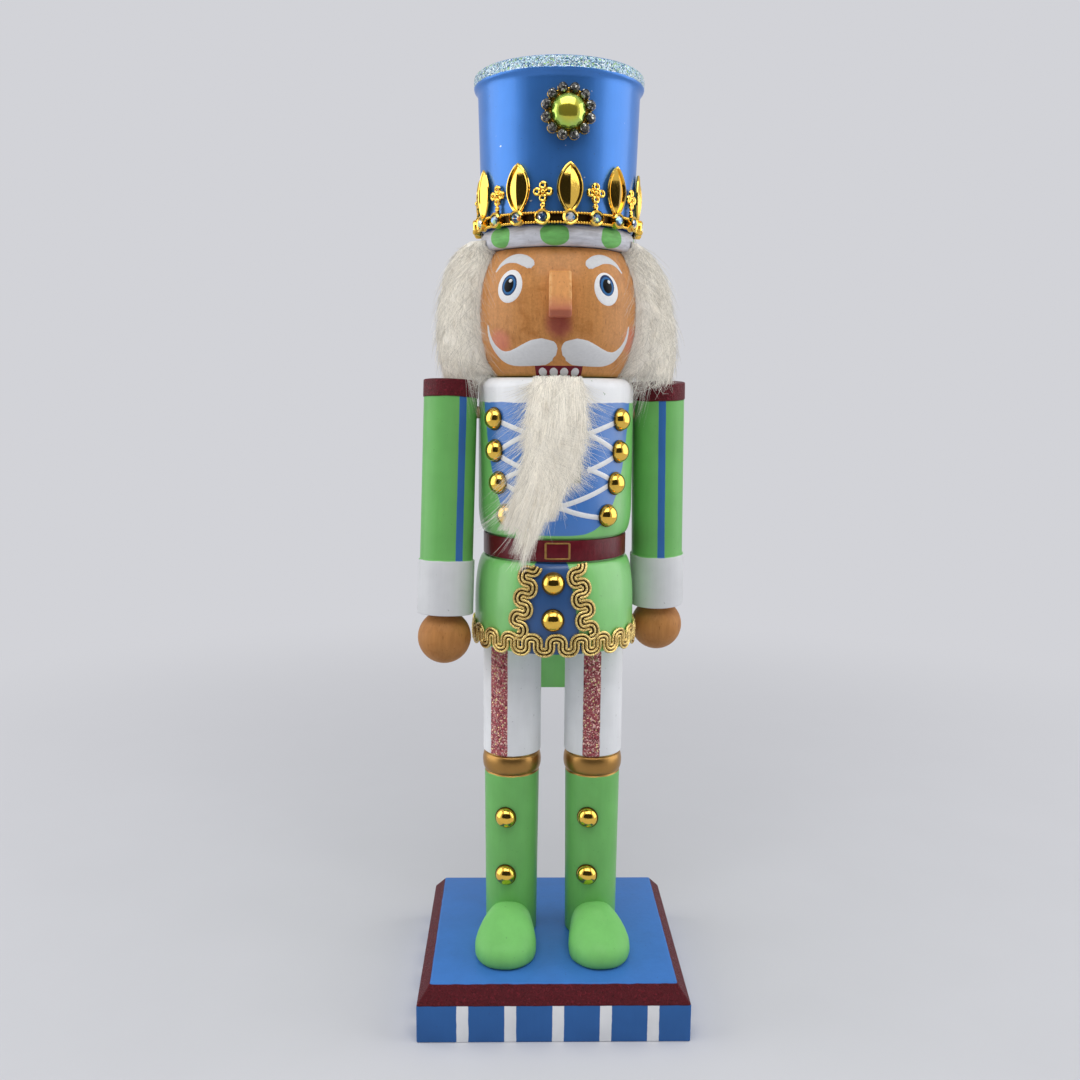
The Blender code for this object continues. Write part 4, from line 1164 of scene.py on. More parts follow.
class NUTCRACKER_OT_crown(bpy.types.Operator):
    """Plated crown of ridged petals, quatrefoils and set stones between two beaded rails"""
    bl_idname = "nutcracker.crown"
    bl_label = "Crown"

    count = 10
    radius = 32.0 * MM
    turn = 6 * DEGREE

    def petal(self):
        """An almond leaf with a rolled rim and two mirror facets that meet on a ridge."""
        tall, half = 18.0 * MM, 4.5 * MM
        leaf = bmesh.new()
        bmesh.ops.create_grid(leaf, x_segments=6, y_segments=18, size=1)
        for vertex in leaf.verts:
            share = (vertex.co.y + 1) / 2
            width = self.almond(share)
            ridge = (1 - abs(vertex.co.x)) * 1.9 * MM * width
            vertex.co = (vertex.co.x * half * width, share * tall, ridge)
        bmesh.ops.remove_doubles(leaf, verts=leaf.verts, dist=0.01 * MM)
        bmesh.ops.recalc_face_normals(leaf, faces=leaf.faces)
        bmesh.ops.solidify(leaf, geom=leaf.faces[:], thickness=0.4 * MM)
        rim = []
        for step in range(32):
            share = step / 16 if step < 16 else 2 - step / 16
            side = 1 if step < 16 else -1
            rim.append(((side * half * self.almond(share), share * tall, 0.3 * MM), 0.6 * MM))
        return joined(leaf, tubes([rim], 2, True))

    def almond(self, share):
        """Width of a petal, as a share of its widest place."""
        return max(math.sin(math.pi * share), 0) ** 0.72

    def quatrefoil(self):
        """Four rings about a bead, on a stem with a ring of its own."""
        middle, reach = 6.9 * MM, 2.3 * MM
        rings = [ring_path(0.65 * MM, 12, 0.5 * MM, (0, 2.0 * MM))]
        for quarter in range(4):
            angle = quarter * math.pi / 2
            centre = (math.cos(angle) * reach, middle + math.sin(angle) * reach)
            rings.append(ring_path(1.05 * MM, 14, 0.62 * MM, centre))
        shape = tubes(rings, 2, True)
        stem = tubes([[((0, -0.8 * MM, 0), 1.1 * MM), ((0, 1.2 * MM, 0), 0.8 * MM)]], 2)
        bead = bmesh.new()
        bmesh.ops.create_uvsphere(bead, u_segments=12, v_segments=8, radius=1.0 * MM,
                                  matrix=Matrix.Translation((0, middle, 0.35 * MM)))
        return joined(shape, stem, bead)

    def bezel(self):
        """A cup around a stone."""
        cup = [(2.05, 2.1), (2.5, 2.35), (2.95, 1.9), (2.95, -0.3), (2.0, -0.3)]
        return turned(in_mm(cup), 20, ring=True)

    def stone(self):
        """A round stone with a flat table and eight sloping facets."""
        shape = bmesh.new()
        bmesh.ops.create_cone(shape, cap_ends=True, segments=8, radius1=2.3 * MM, radius2=1.25 * MM,
                              depth=1.1 * MM, matrix=Matrix.Translation((0, 0, 1.9 * MM)))
        return shape

    def stone_finish(self):
        """Cut glass with an iridescent foil: patches of blue, green and orange, with white facets as painted
        reflections and dark facets as painted dark reflections.
        """
        coat = Finish("crown_stone_facets", (0.16, 0.36, 0.72), 0.06, 0.5)
        facet_reflection, tint, lean = coat.flakes(1.0, 1.2 * MM, 0.7)
        # Dark and white facets are painted reflections; green and orange are the foil's colours
        coat.coat(coat.ramp(facet_reflection, 0.5, 0.6), (0.04, 0.10, 0.22))
        coat.coat(coat.ramp(tint, 0.6, 0.7), (0.88, 0.92, 0.96))
        coat.coat(coat.ramp(lean, 0.72, 0.78), (0.32, 0.62, 0.30))
        coat.coat(coat.ramp(lean, 0.86, 0.9), (0.85, 0.42, 0.10))
        return coat.done(coat_weight=1.0, coat_roughness=0.03)

    def execute(self, context):
        colours = context.scene.nutcracker_colours
        middle = HAT_LOW.z + 1.7 * MM
        rails = (middle - 1.75 * MM, middle + 1.75 * MM)
        step = 2 * math.pi / self.count
        gold = plated("crown_gold", colours.gold, 0.08, 0.2)
        petals = [facing(self.turn + index * step, self.radius, rails[1]) for index in range(self.count)]
        piece("crown_petals", copied(self.petal(), petals), [gold], ["crown_trim"],
              sharp=30 * DEGREE)
        foils = [facing(self.turn + (index + 0.5) * step, self.radius + 0.3 * MM, rails[1] + 0.6 * MM)
                 for index in range(self.count)]
        piece("crown_quatrefoils", copied(self.quatrefoil(), foils), [gold])
        cups = [facing(self.turn + index * step / 2, self.radius, middle) for index in range(2 * self.count)]
        piece("crown_bezels", copied(self.bezel(), cups), [gold])
        piece("crown_stones", copied(self.stone(), cups), [self.stone_finish()],
              sharp=5 * DEGREE)
        beads, bead_count = [], 180
        for height in rails:
            for index in range(bead_count):
                beads.append(facing(index * 2 * math.pi / bead_count, self.radius + 0.2 * MM, height))
        bead = bmesh.new()
        bmesh.ops.create_uvsphere(bead, u_segments=8, v_segments=5, radius=0.6 * MM)
        piece("crown_rails", copied(bead, beads), [gold])
        inside, outside, slope = 31.2 * MM, 31.5 * MM, 0.2 * MM
        low, high = rails
        strip = [(inside, high), (outside, high - slope), (outside, low + slope), (inside, low)]
        dark = plated("crown_strip_shadow", (0.06, 0.035, 0.012), 0.4)
        piece("crown_strip", turned(strip, 96, ring=True), [dark])
        return {"FINISHED"}


class NUTCRACKER_OT_medallion(bpy.types.Operator):
    """Pearl-gold dome in a ring of dark cut beads, on the front of the hat"""
    bl_idname = "nutcracker.medallion"
    bl_label = "Medallion"

    def dome_finish(self, place):
        coat = Finish("medallion_pearl", (0.70, 0.62, 0.06), 0.14, 0.75, place=place)
        rim = coat.ramp(coat.reach(), 2.4 * MM, 6.0 * MM)
        coat.coat(rim, (0.42, 0.66, 0.10))
        cloud = coat.ramp(coat.noise(4 * MM, detail=2.0), 0.5, 0.75)
        coat.coat(coat.math("MULTIPLY", cloud, 0.35), (0.62, 0.72, 0.3))
        coat.bump(coat.noise(1.5 * MM, detail=2.0), 0.02 * MM)
        return coat.done(coat_weight=0.5, coat_roughness=0.05)

    def bead_finish(self):
        coat = Finish("medallion_cut_beads", (0.045, 0.043, 0.038), 0.16, 0.7)
        facet_reflection = coat.flakes(1.0, 0.8 * MM, 0.6)[0]
        # Some facets paler: painted glints
        coat.coat(coat.ramp(facet_reflection, 0.72, 0.9), (0.42, 0.41, 0.36))
        return coat.done(coat_weight=0.4, coat_roughness=0.05)

    def execute(self, context):
        colours = context.scene.nutcracker_colours
        low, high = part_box("medallion_setting")
        height = (low.z + high.z) / 2
        front = radius_at(hat_profile(), height)[0] + 1.9 * MM
        place = facing(4 * DEGREE, front, height)
        gold = plated("medallion_gold", Vector(colours.gold) * 0.6, 0.25, 0.7)
        disc = eased([(0, 0), (8.6 * MM, 0), (8.6 * MM, -5 * MM), (0, -5 * MM)], 0.5 * MM)
        hat = [(radius + 0.1 * MM if radius else 0, level) for radius, level in hat_profile()]
        plate = carved(moved(turned(disc, 48), place), [turned(hat, 96)])
        spots, bead_count, reach = [], 12, 8.5 * MM
        for index in range(bead_count):
            angle = (index + 0.5) * 2 * math.pi / bead_count
            spots.append(Matrix.Translation((reach * math.cos(angle), reach * math.sin(angle), 0)))
        cup = [(1.3, 0.2), (1.7, 0.3), (1.95, 0.0), (1.95, -0.9), (1.3, -0.9)]
        cup = turned(in_mm(cup), 16, ring=True)
        cups = moved(copied(cup, spots), place)
        piece("medallion_plate", joined(plate, cups), [gold], ["medallion_setting"])
        bead = bmesh.new()
        bmesh.ops.create_icosphere(bead, subdivisions=2, radius=1.95 * MM,
                                   matrix=Matrix.Translation((0, 0, 0.6 * MM)))
        piece("medallion_beads", moved(copied(bead, spots), place), [self.bead_finish()],
              sharp=2 * DEGREE)
        foot = 0.2 * MM
        dome = arc((0, foot), (6.4 * MM, 4.2 * MM), math.pi / 2, 0, 18)[1:]
        pearl = moved(turned([(0, 4.4 * MM), *dome, (0, foot)], 56), place)
        piece("medallion_pearl_dome", pearl, [self.dome_finish(place)], ["medallion_dome"])
        collar = moved(tubes([ring_path(6.5 * MM, 48, 0.45 * MM)], 1, True), place)
        piece("medallion_collar", collar, [gold])
        return {"FINISHED"}


class NUTCRACKER_OT_studs(bpy.types.Operator):
    """Gold dome studs of the chest, the skirt and the boots"""
    bl_idname = "nutcracker.studs"
    bl_label = "Studs"

    def spots(self, sizes):
        """Name, surface, height, angle and axis of each stud."""
        body, leg = body_profile(sizes), leg_profile(sizes)
        for side, sign in SIDES:
            for index, angle in enumerate((51, 50, 46, 38.5)):
                height = BODY_HIGH.z - (16.3 + 12.6 * index) * MM
                yield f"{side}_chest_stud_{index + 1}", body, height, sign * angle * DEGREE, 0
            for index in range(2):
                height = LEG_LOW.z + sizes.boot - (18 + 26 * index) * MM
                yield f"{side}_boot_stud_{index + 1}", leg, height, -12 * DEGREE, sign * LEG_AXIS
        for index in range(2):
            yield f"skirt_stud_{index + 1}", body, BRAID_HIGH.z + (5.2 + 14.5 * index) * MM, -2.5 * DEGREE, 0

    def execute(self, context):
        colours, sizes = settings(context)
        gold = plated("stud_gold", colours.gold, 0.09)
        top = 3.8 * MM
        dome = arc((0, 0.5 * MM), (sizes.stud - 0.35 * MM, top - 0.5 * MM), math.pi / 2, 0, 14)[1:]
        flange = [(sizes.stud, 0.4 * MM), (sizes.stud, 0), (0, 0)]
        # A dark ring at each stud's foot, where it meets the surface: painted contact shade
        foot_shade = plated("stud_foot_shade", Vector(colours.gold) * 0.12, 0.35)
        for name, profile, height, angle, axis in self.spots(sizes):
            lean = radius_at(profile, height)[1]
            spot = on_surface(profile, angle, height, 0.2 * MM) + Vector((axis, 0, 0))
            turn = Matrix.Rotation(angle, 4, "Z") @ Matrix.Rotation(math.pi / 2 - lean, 4, "X")
            shape = turned([(0, top), *dome, *flange], 40)
            for face in shape.faces:
                face.material_index = int(face.calc_center_median().z < 0.52 * MM)
            moved(shape, Matrix.Translation(spot) @ turn)
            piece(name + "_dome", shape, [gold, foot_shade], [name])
        return {"FINISHED"}


# Gimp braids

def serpentine(count, pitch, swing, steps=28):
    """Points of a meandering line along X, with upright flanks and round turns."""
    bulge = 1.15 * pitch / (4 * math.pi)
    points = []
    for step in range(round(count * steps) + 1):
        share = step / steps
        along = pitch * share + bulge * math.sin(4 * math.pi * share)
        points.append(Vector((along, swing * math.cos(2 * math.pi * share))))
    return points


def beside(points, offset):
    """A line that runs beside another at a fixed distance."""
    shifted = []
    for index, point in enumerate(points):
        before, after = points[max(index - 1, 0)], points[min(index + 1, len(points) - 1)]
        along = (after - before).normalized()
        shifted.append(point + offset * Vector((-along.y, along.x)))
    return shifted


class NUTCRACKER_OT_braids(bpy.types.Operator):
    """Gimp braids of gold cords, with dark cords sunk between them as painted shade in the gaps, on the hem
    and the front of the skirt
    """
    bl_idname = "nutcracker.braids"
    bl_label = "Braids"

    spacing = 1.5 * MM
    cords = ((-1, 1.0, 1.45), (0, 1.0, 1.75), (1, 1.0, 1.45))
    # Dark cords sunk between the gold ones: painted shade in the gaps
    gap_shade_cords = ((-0.5, 0.85, 0.85), (0.5, 0.85, 0.85))

    def finish(self, name, colour):
        coat = Finish(name, colour, 0.26, 0.9)
        twist_and_glint = coat.noise(0.5 * MM, stretch=(1, 1, 1.6), detail=3.0, distortion=0.8)
        # The twist pattern also paints highlights and shade along the thread
        coat.tinted(twist_and_glint, 0.4, 1.4)
        shadow = coat.ramp(coat.noise(2.5 * MM, detail=2.0), 0.55, 0.8)
        coat.coat(coat.math("MULTIPLY", shadow, 0.4), Vector(colour) * 0.35)
        coat.bump(twist_and_glint, 0.2 * MM)
        return coat.done()

    def hem(self, sizes, cords):
        skirt = [(BODY_HIGH.x, BRAID_HIGH.z + 5 * MM), (BODY_HIGH.x, BRAID_LOW.z - 5 * MM)]
        middle = (BRAID_LOW.z + BRAID_HIGH.z) / 2
        around = 2 * math.pi * BODY_HIGH.x
        count = round(around / sizes.braid_pitch)
        line = serpentine(count, around / count, 2.9 * MM)
        paths = []
        for offset, thick, lift in cords:
            path = []
            for along, across in beside(line, offset * self.spacing)[:-1]:
                spot = on_surface(skirt, along / BODY_HIGH.x, middle + across, lift * sizes.cord)
                path.append((spot, thick * sizes.cord))
            paths.append(path)
        return tubes(paths, 2, True)

    def front(self, sign, sizes, cords):
        profile = body_profile(sizes)
        head = Vector((sign * 8.6 * MM, BELT_LOW.z - 1.6 * MM))
        foot = Vector((sign * 14.2 * MM, BRAID_HIGH.z - 1.5 * MM))
        run = foot - head
        down = run.normalized()
        aside = Vector((-down.y, down.x))
        waves = 3.25
        line = serpentine(waves, run.length / waves, 2.5 * MM)
        paths = []
        for offset, thick, lift in cords:
            path = []
            for along, across in beside(line, offset * self.spacing):
                spot = head + down * along + aside * across
                height = min(spot.y, BELT_LOW.z - 0.9 * MM)
                angle = math.asin(spot.x / radius_at(profile, height)[0]) - 2.5 * DEGREE
                path.append((on_surface(profile, angle, height, lift * sizes.cord), thick * sizes.cord))
            paths.append(path)
        return tubes(paths, 2)

    def execute(self, context):
        colours, sizes = settings(context)
        bright = self.finish("braid_thread", colours.thread)
        # Near-black thread of the cords that paint the shade in the gaps
        dark = self.finish("braid_gap_shade", Vector(colours.thread) * 0.06)
        for name, cords, thread in (("gimp", self.cords, bright), ("gimp_gap_shade", self.gap_shade_cords, dark)):
            outer = name == "gimp"
            nodes = ["hem_braid"] if outer else ()
            piece("hem_" + name, self.hem(sizes, cords), [thread], nodes)
            for side, sign in SIDES:
                nodes = [side + "_front_braid"] if outer else ()
                piece(f"{side}_front_{name}", self.front(sign, sizes, cords), [thread], nodes)
        return {"FINISHED"}


# Fur

STRAND_SHADE = "strand_shade"


def fur_finish(name, colours, shade=1.0, strands=False):
    """Pale undyed fur: warm shadowed partings between the locks, fine fibres and a soft sheen."""
    coat = Finish(name, Vector(colours.fur) * shade, 0.7)
    lock = coat.noise(3.2 * MM, stretch=(1, 1, 0.4), detail=4.0, distortion=0.6)
    fibre = coat.noise(0.45 * MM, stretch=(1, 1, 0.25), detail=2.0)
    coat.tinted(fibre, 0.84, 1.06)
    coat.coat(coat.math("MULTIPLY", coat.ramp(lock, 0.5, 0.78), 0.5), Vector(colours.fur_shade) * shade)
    if strands:
        coat.tinted(coat.node("ShaderNodeAttribute", attribute_name=STRAND_SHADE).outputs["Fac"], 0.74, 1.16)
    coat.bump(fibre, 0.2 * MM)
    return coat.done(specular_ior_level=SATIN, sheen_weight=0.2, sheen_roughness=0.4)


def strand_tubes(paths, chance):
    """Strands as thin tubes, each with a shade of its own in a mesh attribute."""
    shape = tubes(paths, 0)
    layer = shape.verts.layers.float.new(STRAND_SHADE)
    corners = len(shape.verts) // sum(len(path) for path in paths)
    vertices = iter(shape.verts)
    for path in paths:
        shade = chance.triangular(0, 1, 0.75)
        for _ in range(corners * len(path)):
            next(vertices)[layer] = shade
    return shape


def let_light_through(item):
    """Thin pale fibres pass light on, so the strands cast no shadow of their own."""
    item.visible_shadow = False


def tapered(points, radius):
    """A strand that thins towards its tip, as (point, radius) pairs."""
    last = len(points) - 1
    return [(point, radius * (1 - 0.8 * index / last)) for index, point in enumerate(points)]


class NUTCRACKER_OT_hair(bpy.types.Operator):
    """Wrap of fleecy fur around the back and sides of the head"""
    bl_idname = "nutcracker.hair"
    bl_label = "Hair"

    front = 67 * DEGREE
    swell = 20 * DEGREE
    belly = HAIR_LOW.z + 16 * MM

    def outer(self, height):
        """Radius of the fleece at a height, away from its front edges."""
        thin, full = 35 * MM, HAIR_HIGH.x - 2.2 * MM
        if height > self.belly:
            share = min((height - self.belly) / (HAIR_HIGH.z - self.belly), 1)
            return thin + (full - thin) * math.sqrt(1 - share ** 2)
        return full - 5 * MM * min((self.belly - height) / (22 * MM), 1) ** 2

    def inner(self, height):
        """Radius of what the fur lies against."""
        if height > HEAD_HIGH.z:
            return BAND_HIGH.x
        return radius_at(head_profile(), max(height, HEAD_LOW.z))[0]

    def fleece(self, angle, height):
        """Radius of the fleece, which rounds off towards its two front edges and has slumped on the left."""
        aside = min(angle, 2 * math.pi - angle)
        past = min(max((aside - self.front) / self.swell, 0), 1)
        low = self.inner(height)
        slump = 3.5 * MM * max(math.sin(angle), 0) * (self.belly - height) / (38 * MM)
        return low + max(self.outer(height) + slump - low, 0) * math.sqrt(1 - (1 - past) ** 2)

    def clear_of_arms(self, point):
        """The point itself, or the nearest one outside the shoulder caps."""
        if point.z > BODY_HIGH.z:
            return point
        on_cap, clear = 9 * MM, 11.8 * MM
        for _, sign in SIDES:
            off = point - arm_place(sign).translation
            reach = off.xy.length
            if reach < on_cap:
                point.z = BODY_HIGH.z - 0.7 * MM
            elif reach < clear:
                point.xy += off.xy.normalized() * (clear - reach)
        return point

    def mass(self):
        """The dense fleece under the strands, in soft tufts."""
        rows, top, run = 26, HAIR_HIGH.z - 1 * MM, HAIR_HIGH.z - HAIR_LOW.z - 1.6 * MM
        heights = [top - run * row / rows for row in range(rows + 1)]
        profile = [(self.outer(height), height) for height in heights]
        profile += [(self.inner(height) + 0.2 * MM, height) for height in reversed(heights)]
        shape = bmesh.new()
        lie = Matrix.Rotation(self.front - math.pi / 2, 3, "Z")
        loop = [shape.verts.new(lie @ Vector((radius, 0, height))) for radius, height in profile]
        edges = [shape.edges.new((loop[index - 1], loop[index])) for index in range(len(loop))]
        bmesh.ops.spin(shape, geom=loop + edges, cent=(0, 0, 0), axis=(0, 0, 1), dvec=(0, 0, 0),
                       angle=2 * math.pi - 2 * self.front, steps=120, use_merge=False)
        bmesh.ops.holes_fill(shape, edges=[edge for edge in shape.edges if edge.is_boundary], sides=0)
        for vertex in shape.verts:
            low = self.inner(vertex.co.z)
            if vertex.co.xy.length > low + 0.5 * MM:
                angle = math.atan2(vertex.co.x, -vertex.co.y) % (2 * math.pi)
                tuft = noise.noise(vertex.co / (6 * MM)) * 1.3 * MM
                tuft += noise.noise(vertex.co / (2 * MM)) * 0.6 * MM
                radius = max(self.fleece(angle, vertex.co.z) - 1.6 * MM + tuft, low + 0.6 * MM)
                vertex.co.xy = vertex.co.xy.normalized() * radius
        bmesh.ops.recalc_face_normals(shape, faces=shape.faces)
        return shape

    def strand(self, chance, angle, radius):
        """One strand, combed down the fleece with a lean of its own and of its tuft."""
        top = HAIR_LOW.z + (HAIR_HIGH.z - 1 * MM - HAIR_LOW.z) * chance.random() ** 0.9
        tuft = noise.noise_vector(Vector((angle * 9, top / (5 * MM), 0)))
        stray = chance.random() < 0.08
        reach = chance.uniform(5, 12) * MM * (1.5 if stray else 1)
        lean = tuft.x * 0.9 + chance.gauss(0, 0.45)
        lift = (chance.triangular(0.3, 2.8, 0.9) + tuft.y) * MM * (2 if stray else 1)
        floor = HAIR_LOW.z - chance.triangular(0, 12, 2) * MM
        points = []
        for step in range(4):
            share = step / 3
            height = max(top - reach * math.cos(lean) * share, floor)
            swing = angle + reach * math.sin(lean) * share ** 1.3 / HAIR_HIGH.x
            rise = (0.3 * MM + lift) * share ** 0.8 * (1.25 - 0.25 * share)
            out = self.fleece(swing, height) - 1.9 * MM + rise
            out = max(out, self.inner(height) + (0.2 + 0.5 * share) * MM)
            points.append(self.clear_of_arms(Vector((out * math.sin(swing), -out * math.cos(swing), height))))
        return tapered(points, radius * chance.uniform(0.7, 1.25))

    def wisp(self, chance, sign, radius):
        """A loose strand from the front edge, over the side of the face or down in front of the shoulder."""
        over_face = chance.random() < 0.35
        top = HAIR_LOW.z + (0 if not over_face else chance.uniform(10, 50) * MM) + chance.uniform(2, 8) * MM
        drop = chance.uniform(8, 22) * MM
        start, end = self.front + 4 * DEGREE, self.front - chance.uniform(4, 22) * DEGREE
        wide = 0 if over_face else chance.uniform(0, 11) * MM
        points = []
        for step in range(5):
            share = step / 4
            height = top - drop * share * (0.5 + 0.5 * share)
            angle = start + (end - start) * share * (1 if over_face else 0.3)
            out = self.inner(height) + wide + (0.8 + 2 * math.sin(math.pi * share)) * MM
            point = Vector((sign * out * math.sin(angle), -out * math.cos(angle), height))
            points.append(self.clear_of_arms(point))
        return tapered(points, radius * chance.uniform(0.5, 0.9))

    def strands(self, count, start, end, seed, radius):
        """Strands between two angles from the front, with loose wisps where they reach a front edge."""
        noise.seed_set(seed)
        chance = random.Random(seed)
        paths = [self.strand(chance, chance.uniform(start, end), radius) for _ in range(count)]
        middle, wisps = math.sin((start + end) / 2), 160
        if abs(middle) > 0.5:
            paths += [self.wisp(chance, math.copysign(1, middle), radius) for _ in range(wisps)]
        return strand_tubes(paths, chance)

    def execute(self, context):
        colours, sizes = settings(context)
        fleece = fur_finish("hair_fleece", colours)
        piece("hair_mass", self.mass(), [fleece], ["hair"], sharp=math.pi)
        fur = fur_finish("hair_fur", colours, 1.0, True)
        edge, side, whole = self.front, 125 * DEGREE, 2 * math.pi
        spans = (("right", whole - side, whole - edge), ("left", edge, side), ("back", side, whole - side))
        for seed, (name, start, end) in enumerate(spans):
            shape = self.strands(sizes.hair_strands, start, end, seed + 11, sizes.strand)
            let_light_through(piece("hair_strands_" + name, shape, [fur], sharp=math.pi))
        return {"FINISHED"}


BEARD_GUIDES = (
    ((-10, -33, 262), (-11.5, -38, 247.5), (-12.8, -40.5, 232), (-17, -40, 214), (-20.5, -37, 199)),
    ((-5.4, -33, 262.2), (-6.2, -39, 246), (-8.8, -42, 231), (-13.5, -41, 212), (-17.7, -37.5, 193)),
    ((-0.8, -33, 262.4), (-1.2, -39.5, 245), (-4.6, -42.5, 230), (-9.6, -41, 211), (-15.2, -37.5, 189)),
    ((3.8, -33, 262.2), (3.7, -39.5, 245), (-0.2, -42.5, 230.5), (-5.8, -41, 212.5), (-12.8, -37.5, 192)),
    ((9, -33, 262), (9.4, -38.5, 246), (6.8, -41, 231), (-1, -40.5, 215), (-10, -37.5, 199)))


class NUTCRACKER_OT_beard(bpy.types.Operator):
    """Long fur beard that hangs from the jaw and sweeps to the figure's right"""
    bl_idname = "nutcracker.beard"
    bl_label = "Beard"

    # The fur stays in front of this plane
    back = -32.6 * MM

    def guide(self, across, share):
        """Point of the combed flow: across from 0 to 1, and a share of the way down."""
        place = min(across * (len(BEARD_GUIDES) - 1), len(BEARD_GUIDES) - 1.001)
        left = int(place)
        spot = min(share * 4, 3.999)
        row = int(spot)
        points = []
        for strip in (BEARD_GUIDES[left], BEARD_GUIDES[left + 1]):
            a = Vector(strip[max(row - 1, 0)])
            b = Vector(strip[row])
            c = Vector(strip[row + 1])
            d = Vector(strip[min(row + 2, 4)])
            t = spot - row
            points.append(0.5 * (2 * b + (c - a) * t + (2 * a - 5 * b + 4 * c - d) * t ** 2
                                 + (3 * b - a - 3 * c + d) * t ** 3))
        return points[0].lerp(points[1], place - left) * MM

    def hollow(self, across, share):
        """1 in the middle of the hollow that the swirl leaves, and 0 well away from it."""
        return math.exp(-((across - 0.74) / 0.2) ** 2 - ((share - 0.42) / 0.11) ** 2)

    def mass(self):
        """The soft body of the beard under its strands."""
        shape = bmesh.new()
        bmesh.ops.create_uvsphere(shape, u_segments=32, v_segments=30, radius=1)
        for vertex in shape.verts:
            share = 0.01 + 0.58 * math.acos(max(min(vertex.co.z, 1), -1)) / math.pi
            spread = max(vertex.co.xy.length, 1e-6)
            across = 0.5 + 0.42 * vertex.co.x / spread * spread ** 0.5
            spot = self.guide(across, share)
            depth = 3.2 if vertex.co.y < 0 else 5.5
            bulge = vertex.co.y * depth + noise.noise(spot / (4 * MM)) * 0.9
            spot.y += (bulge + 3 * self.hollow(across, share)) * MM
            spot.y = min(spot.y, self.back)
            vertex.co = spot
        bmesh.ops.recalc_face_normals(shape, faces=shape.faces)
        return shape

    def lock_tip(self, across):
        """Middle of the pointed lock that a strand joins at the tip, and how far down the lock reaches."""
        count = 7
        lock = min(int(across * count), count - 1)
        middle = (lock + 0.5) / count
        return middle, 0.95 - 0.1 * abs(2 * middle - 1) + 0.16 * noise.noise(Vector((lock * 1.7, 0.4, 0)))

    def course(self, chance, seed, across, start):
        """Reach, lean and rise of a strand, and whether it flies loose.

        Most strands go with their lock. Near the root some lie crosswise.
        Below the hollow some flick out.
        """
        lock = noise.noise_vector(Vector((across * 6, start * 9, seed)))
        reach = chance.uniform(0.14, 0.36)
        lean = lock.x * 5 + chance.gauss(-0.3, 1.8 - 1.8 * start) + (across - 0.5) * 5 * start
        rise = lock.y * 2 + chance.gauss(0, 0.8)
        kind = chance.random()
        loose = kind < 0.06
        if loose:
            lean = 2.6 * lean - chance.uniform(0, 9) * (1 - across)
            rise *= 2.6
        elif start < 0.35 and kind < 0.45:
            reach = chance.uniform(0.05, 0.12)
            lean *= 2.2
            rise *= 1.5
        elif across > 0.45 and 0.4 < start < 0.56 and kind < 0.5:
            reach = chance.uniform(0.08, 0.15)
            lean += chance.uniform(3, 12)
        return reach, max(min(lean, 12), -14) * MM, rise * MM, loose

    def strand(self, chance, seed, depth, radius):
        """One strand along the guides, gathered into a pointed lock at the tip unless it flies loose."""
        across = chance.random()
        start = chance.random() ** 1.6 * 0.7
        while chance.random() < 0.9 * self.hollow(across, start + 0.04):
            across, start = chance.random(), chance.random() * 0.7
        middle, end = self.lock_tip(across)
        reach, lean, rise, loose = self.course(chance, seed, across, start)
        reach = min(reach, end - start)
        curl = 9 * MM * self.hollow(across + 0.1, start + 0.1)
        lift = chance.uniform(*depth) * MM
        crest = chance.uniform(0, 2.4) * MM if start < 0.08 else 0
        points = []
        for step in range(6):
            share = step / 5
            down = start + reach * share
            gathered = 0 if loose else 0.95 * min(max(2 * down - 0.8, 0), 1)
            spot = self.guide(across + (middle - across) * gathered, down)
            spot.z += crest * (1 - share) ** 2
            spot.x += lean * share ** 1.5 - curl * math.sin(1.5 * math.pi * share)
            spot.y -= lift * math.sin(math.pi * (0.12 + 0.66 * share)) + rise * share
            spot.y = min(spot.y, self.back)
            points.append(spot)
        return tapered(points, radius * chance.uniform(0.6, 1.2))

    def strands(self, count, seed, depth, radius):
        noise.seed_set(seed)
        chance = random.Random(seed)
        paths = [self.strand(chance, seed, depth, radius) for _ in range(count)]
        return strand_tubes(paths, chance)

    def execute(self, context):
        colours, sizes = settings(context)
        start, end = (0, -37 * MM, 212 * MM), (0, -36 * MM, 256 * MM)
        layers = [("beard_mass", self.mass(), ["beard"])]
        coats = (("beard_back_strands", (-8, -1.5), 23), ("beard_under_strands", (0.5, 3), 31),
                 ("beard_over_strands", (1.5, 5), 47))
        for name, depth, seed in coats:
            layers.append((name, self.strands(sizes.beard_strands, seed, depth, sizes.strand), []))
        for name, shape, nodes in layers:
            fur = fur_finish(name + "_fur", colours, 0.95, not nodes)
            item = piece(name, shape, [fur], nodes, None, math.pi)
            if not nodes:
                let_light_through(item)
            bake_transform(item)
            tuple(start)
            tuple(end)
        return {"FINISHED"}


# Hidden wood and steel

class NUTCRACKER_OT_fixings(bpy.types.Operator):
    """Bare dowels and the steel jaw pin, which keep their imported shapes"""
    bl_idname = "nutcracker.fixings"
    bl_label = "Dowels and pin"

    def execute(self, context):
        colours = context.scene.nutcracker_colours
        coat = Finish("dowel_wood", colours.bare, 0.65)
        grained(coat, (0.42, 0.26, 0.13), (0.2, 0.11, 0.05))
        wood = coat.done()
        steel = plated("pin_steel", (0.56, 0.56, 0.57), 0.3, 0.3)
        for name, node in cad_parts.items():
            if name.endswith("_dowel") or name == "jaw_pin":
                node.data.materials.clear()
                node.data.materials.append(steel if name == "jaw_pin" else wood)
        return {"FINISHED"}


# Stage: floor, lights and camera

